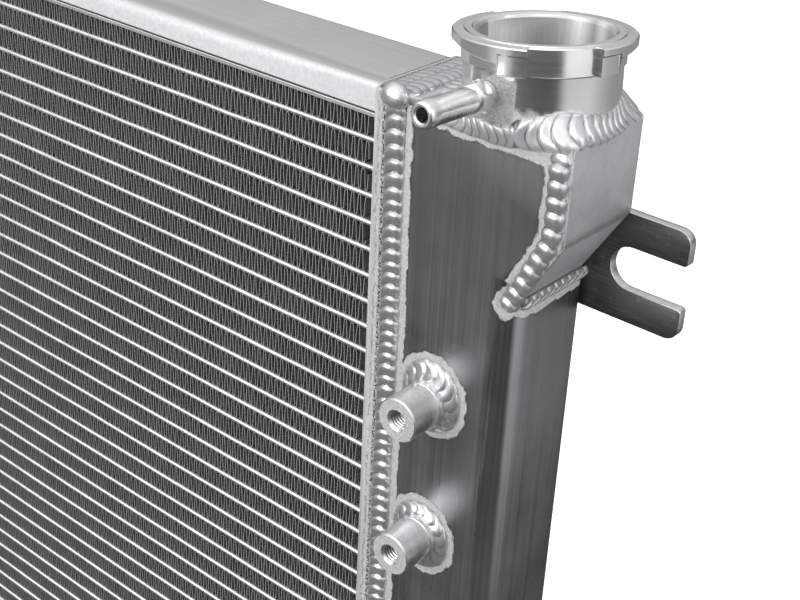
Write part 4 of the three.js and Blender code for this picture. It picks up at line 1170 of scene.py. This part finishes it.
def build_stage():
    """A pale floor that glossy rays see darker, in sectors of different tones like studio cards."""
    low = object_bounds()[0]
    bpy.ops.mesh.primitive_plane_add(size=8, location=(0, 0, low.z - 0.0005))
    floor = bpy.context.object
    floor.name = "floor"
    s = Shader("floor")
    x = s.axis(s.place, 0) - 0.36
    y = s.axis(s.place, 1)
    card = s.greys(s.ramp(s.math("ARCTAN2", y, x), -math.pi, math.pi), *[
        ((degrees + 180) / 360, tone) for degrees, tone in (
            (-180, 0.25), (180, 0.25), (-150, 0.20), (-128, 0.16), (-112, 0.50), (-100, 0.55),
            (-92, 0.03), (-32, 0.02), (-22, 0.45), (20, 0.5), (60, 0.3),
        )
    ])
    reach = s.length(s.add("CombineXYZ", (x, y)))
    dim = s.mix(s.ramp(reach, 0.82, 0.92), 0.058, card)
    pale = s.mix(s.grain(s.noise(6.0, 3, 0.55)), 0.86, 0.92)
    s.finish(s.mix(s.ray("Is Glossy Ray"), pale, dim), 0.7, 0.0)
    s.link(1.0, s.bsdf.inputs["Emission Color"])
    s.link(s.ray("Is Camera Ray") * 0.55, s.bsdf.inputs["Emission Strength"])
    floor.data.materials.append(s.material)


def build_world():
    """A studio sky: dark below, bright above and in front, plain white to the camera."""
    world = bpy.data.worlds.new("studio")
    bpy.context.scene.world = world
    world.use_nodes = True
    s = Nodes(world.node_tree)
    view = s.add("TexCoord", (), "Generated")
    sky = s.greys(s.axis(view, 2), (0.0, (0.16, 0.16, 0.165)), (1.0, 1.0), (0.45, (0.74, 0.74, 0.75)))
    front = s.ramp(s.axis(view, 1), 0.1, -0.5, 0.9, 1.45)
    lit = s.add("VectorMath", {0: sky, "Scale": front}, operation="SCALE")
    background = s.tree.nodes["Background"]
    s.link(s.mix(s.ray("Is Camera Ray"), lit, (1.15, 1.15, 1.15)), background.inputs[0])
    s.link(0.95, background.inputs[1])


def build_camera():
    """The photo's camera."""
    data = bpy.data.cameras.new("camera")
    data.lens = 63.8
    data.sensor_width = 36
    data.clip_start = 0.01
    data.clip_end = 30
    camera = add_object("camera", data)
    camera.location = (0.5926, -0.3531, 0.6295)
    camera.rotation_euler = [math.radians(a) for a in (61.542, -2.594, 40.392)]
    bpy.context.scene.camera = camera


def build_lights():
    for name, place, target, size, power in (
        ("top_softbox", (0.2, -0.2, 1.9), (0.2, 0, 0.3), (1.8, 1.4), 3),
        ("right_softbox", (1.9, -0.1, 0.9), (0.35, 0, 0.3), (1.6, 1.6), 8),
        ("front_softbox", (-0.3, -2.1, 1.25), (0.2, 0, 0.3), (2.4, 1.3), 30),
    ):
        data = bpy.data.lights.new(name, "AREA")
        data.shape = "RECTANGLE"
        data.size, data.size_y = size
        data.energy = power
        lamp = add_object(name, data)
        lamp.location = place
        lamp.rotation_euler = (Vector(target) - Vector(place)).to_track_quat("-Z", "Y").to_euler()


build_tubes()
build_fins()
build_sheets()
build_header_welds()
build_box_welds()
build_neck_weld()
build_small_welds()
build_neck()
build_nipple()
build_bosses()
build_hose_necks()
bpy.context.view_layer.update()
build_stage()
build_world()
build_lights()
build_camera()
bpy.context.scene.view_settings.view_transform = "Standard"
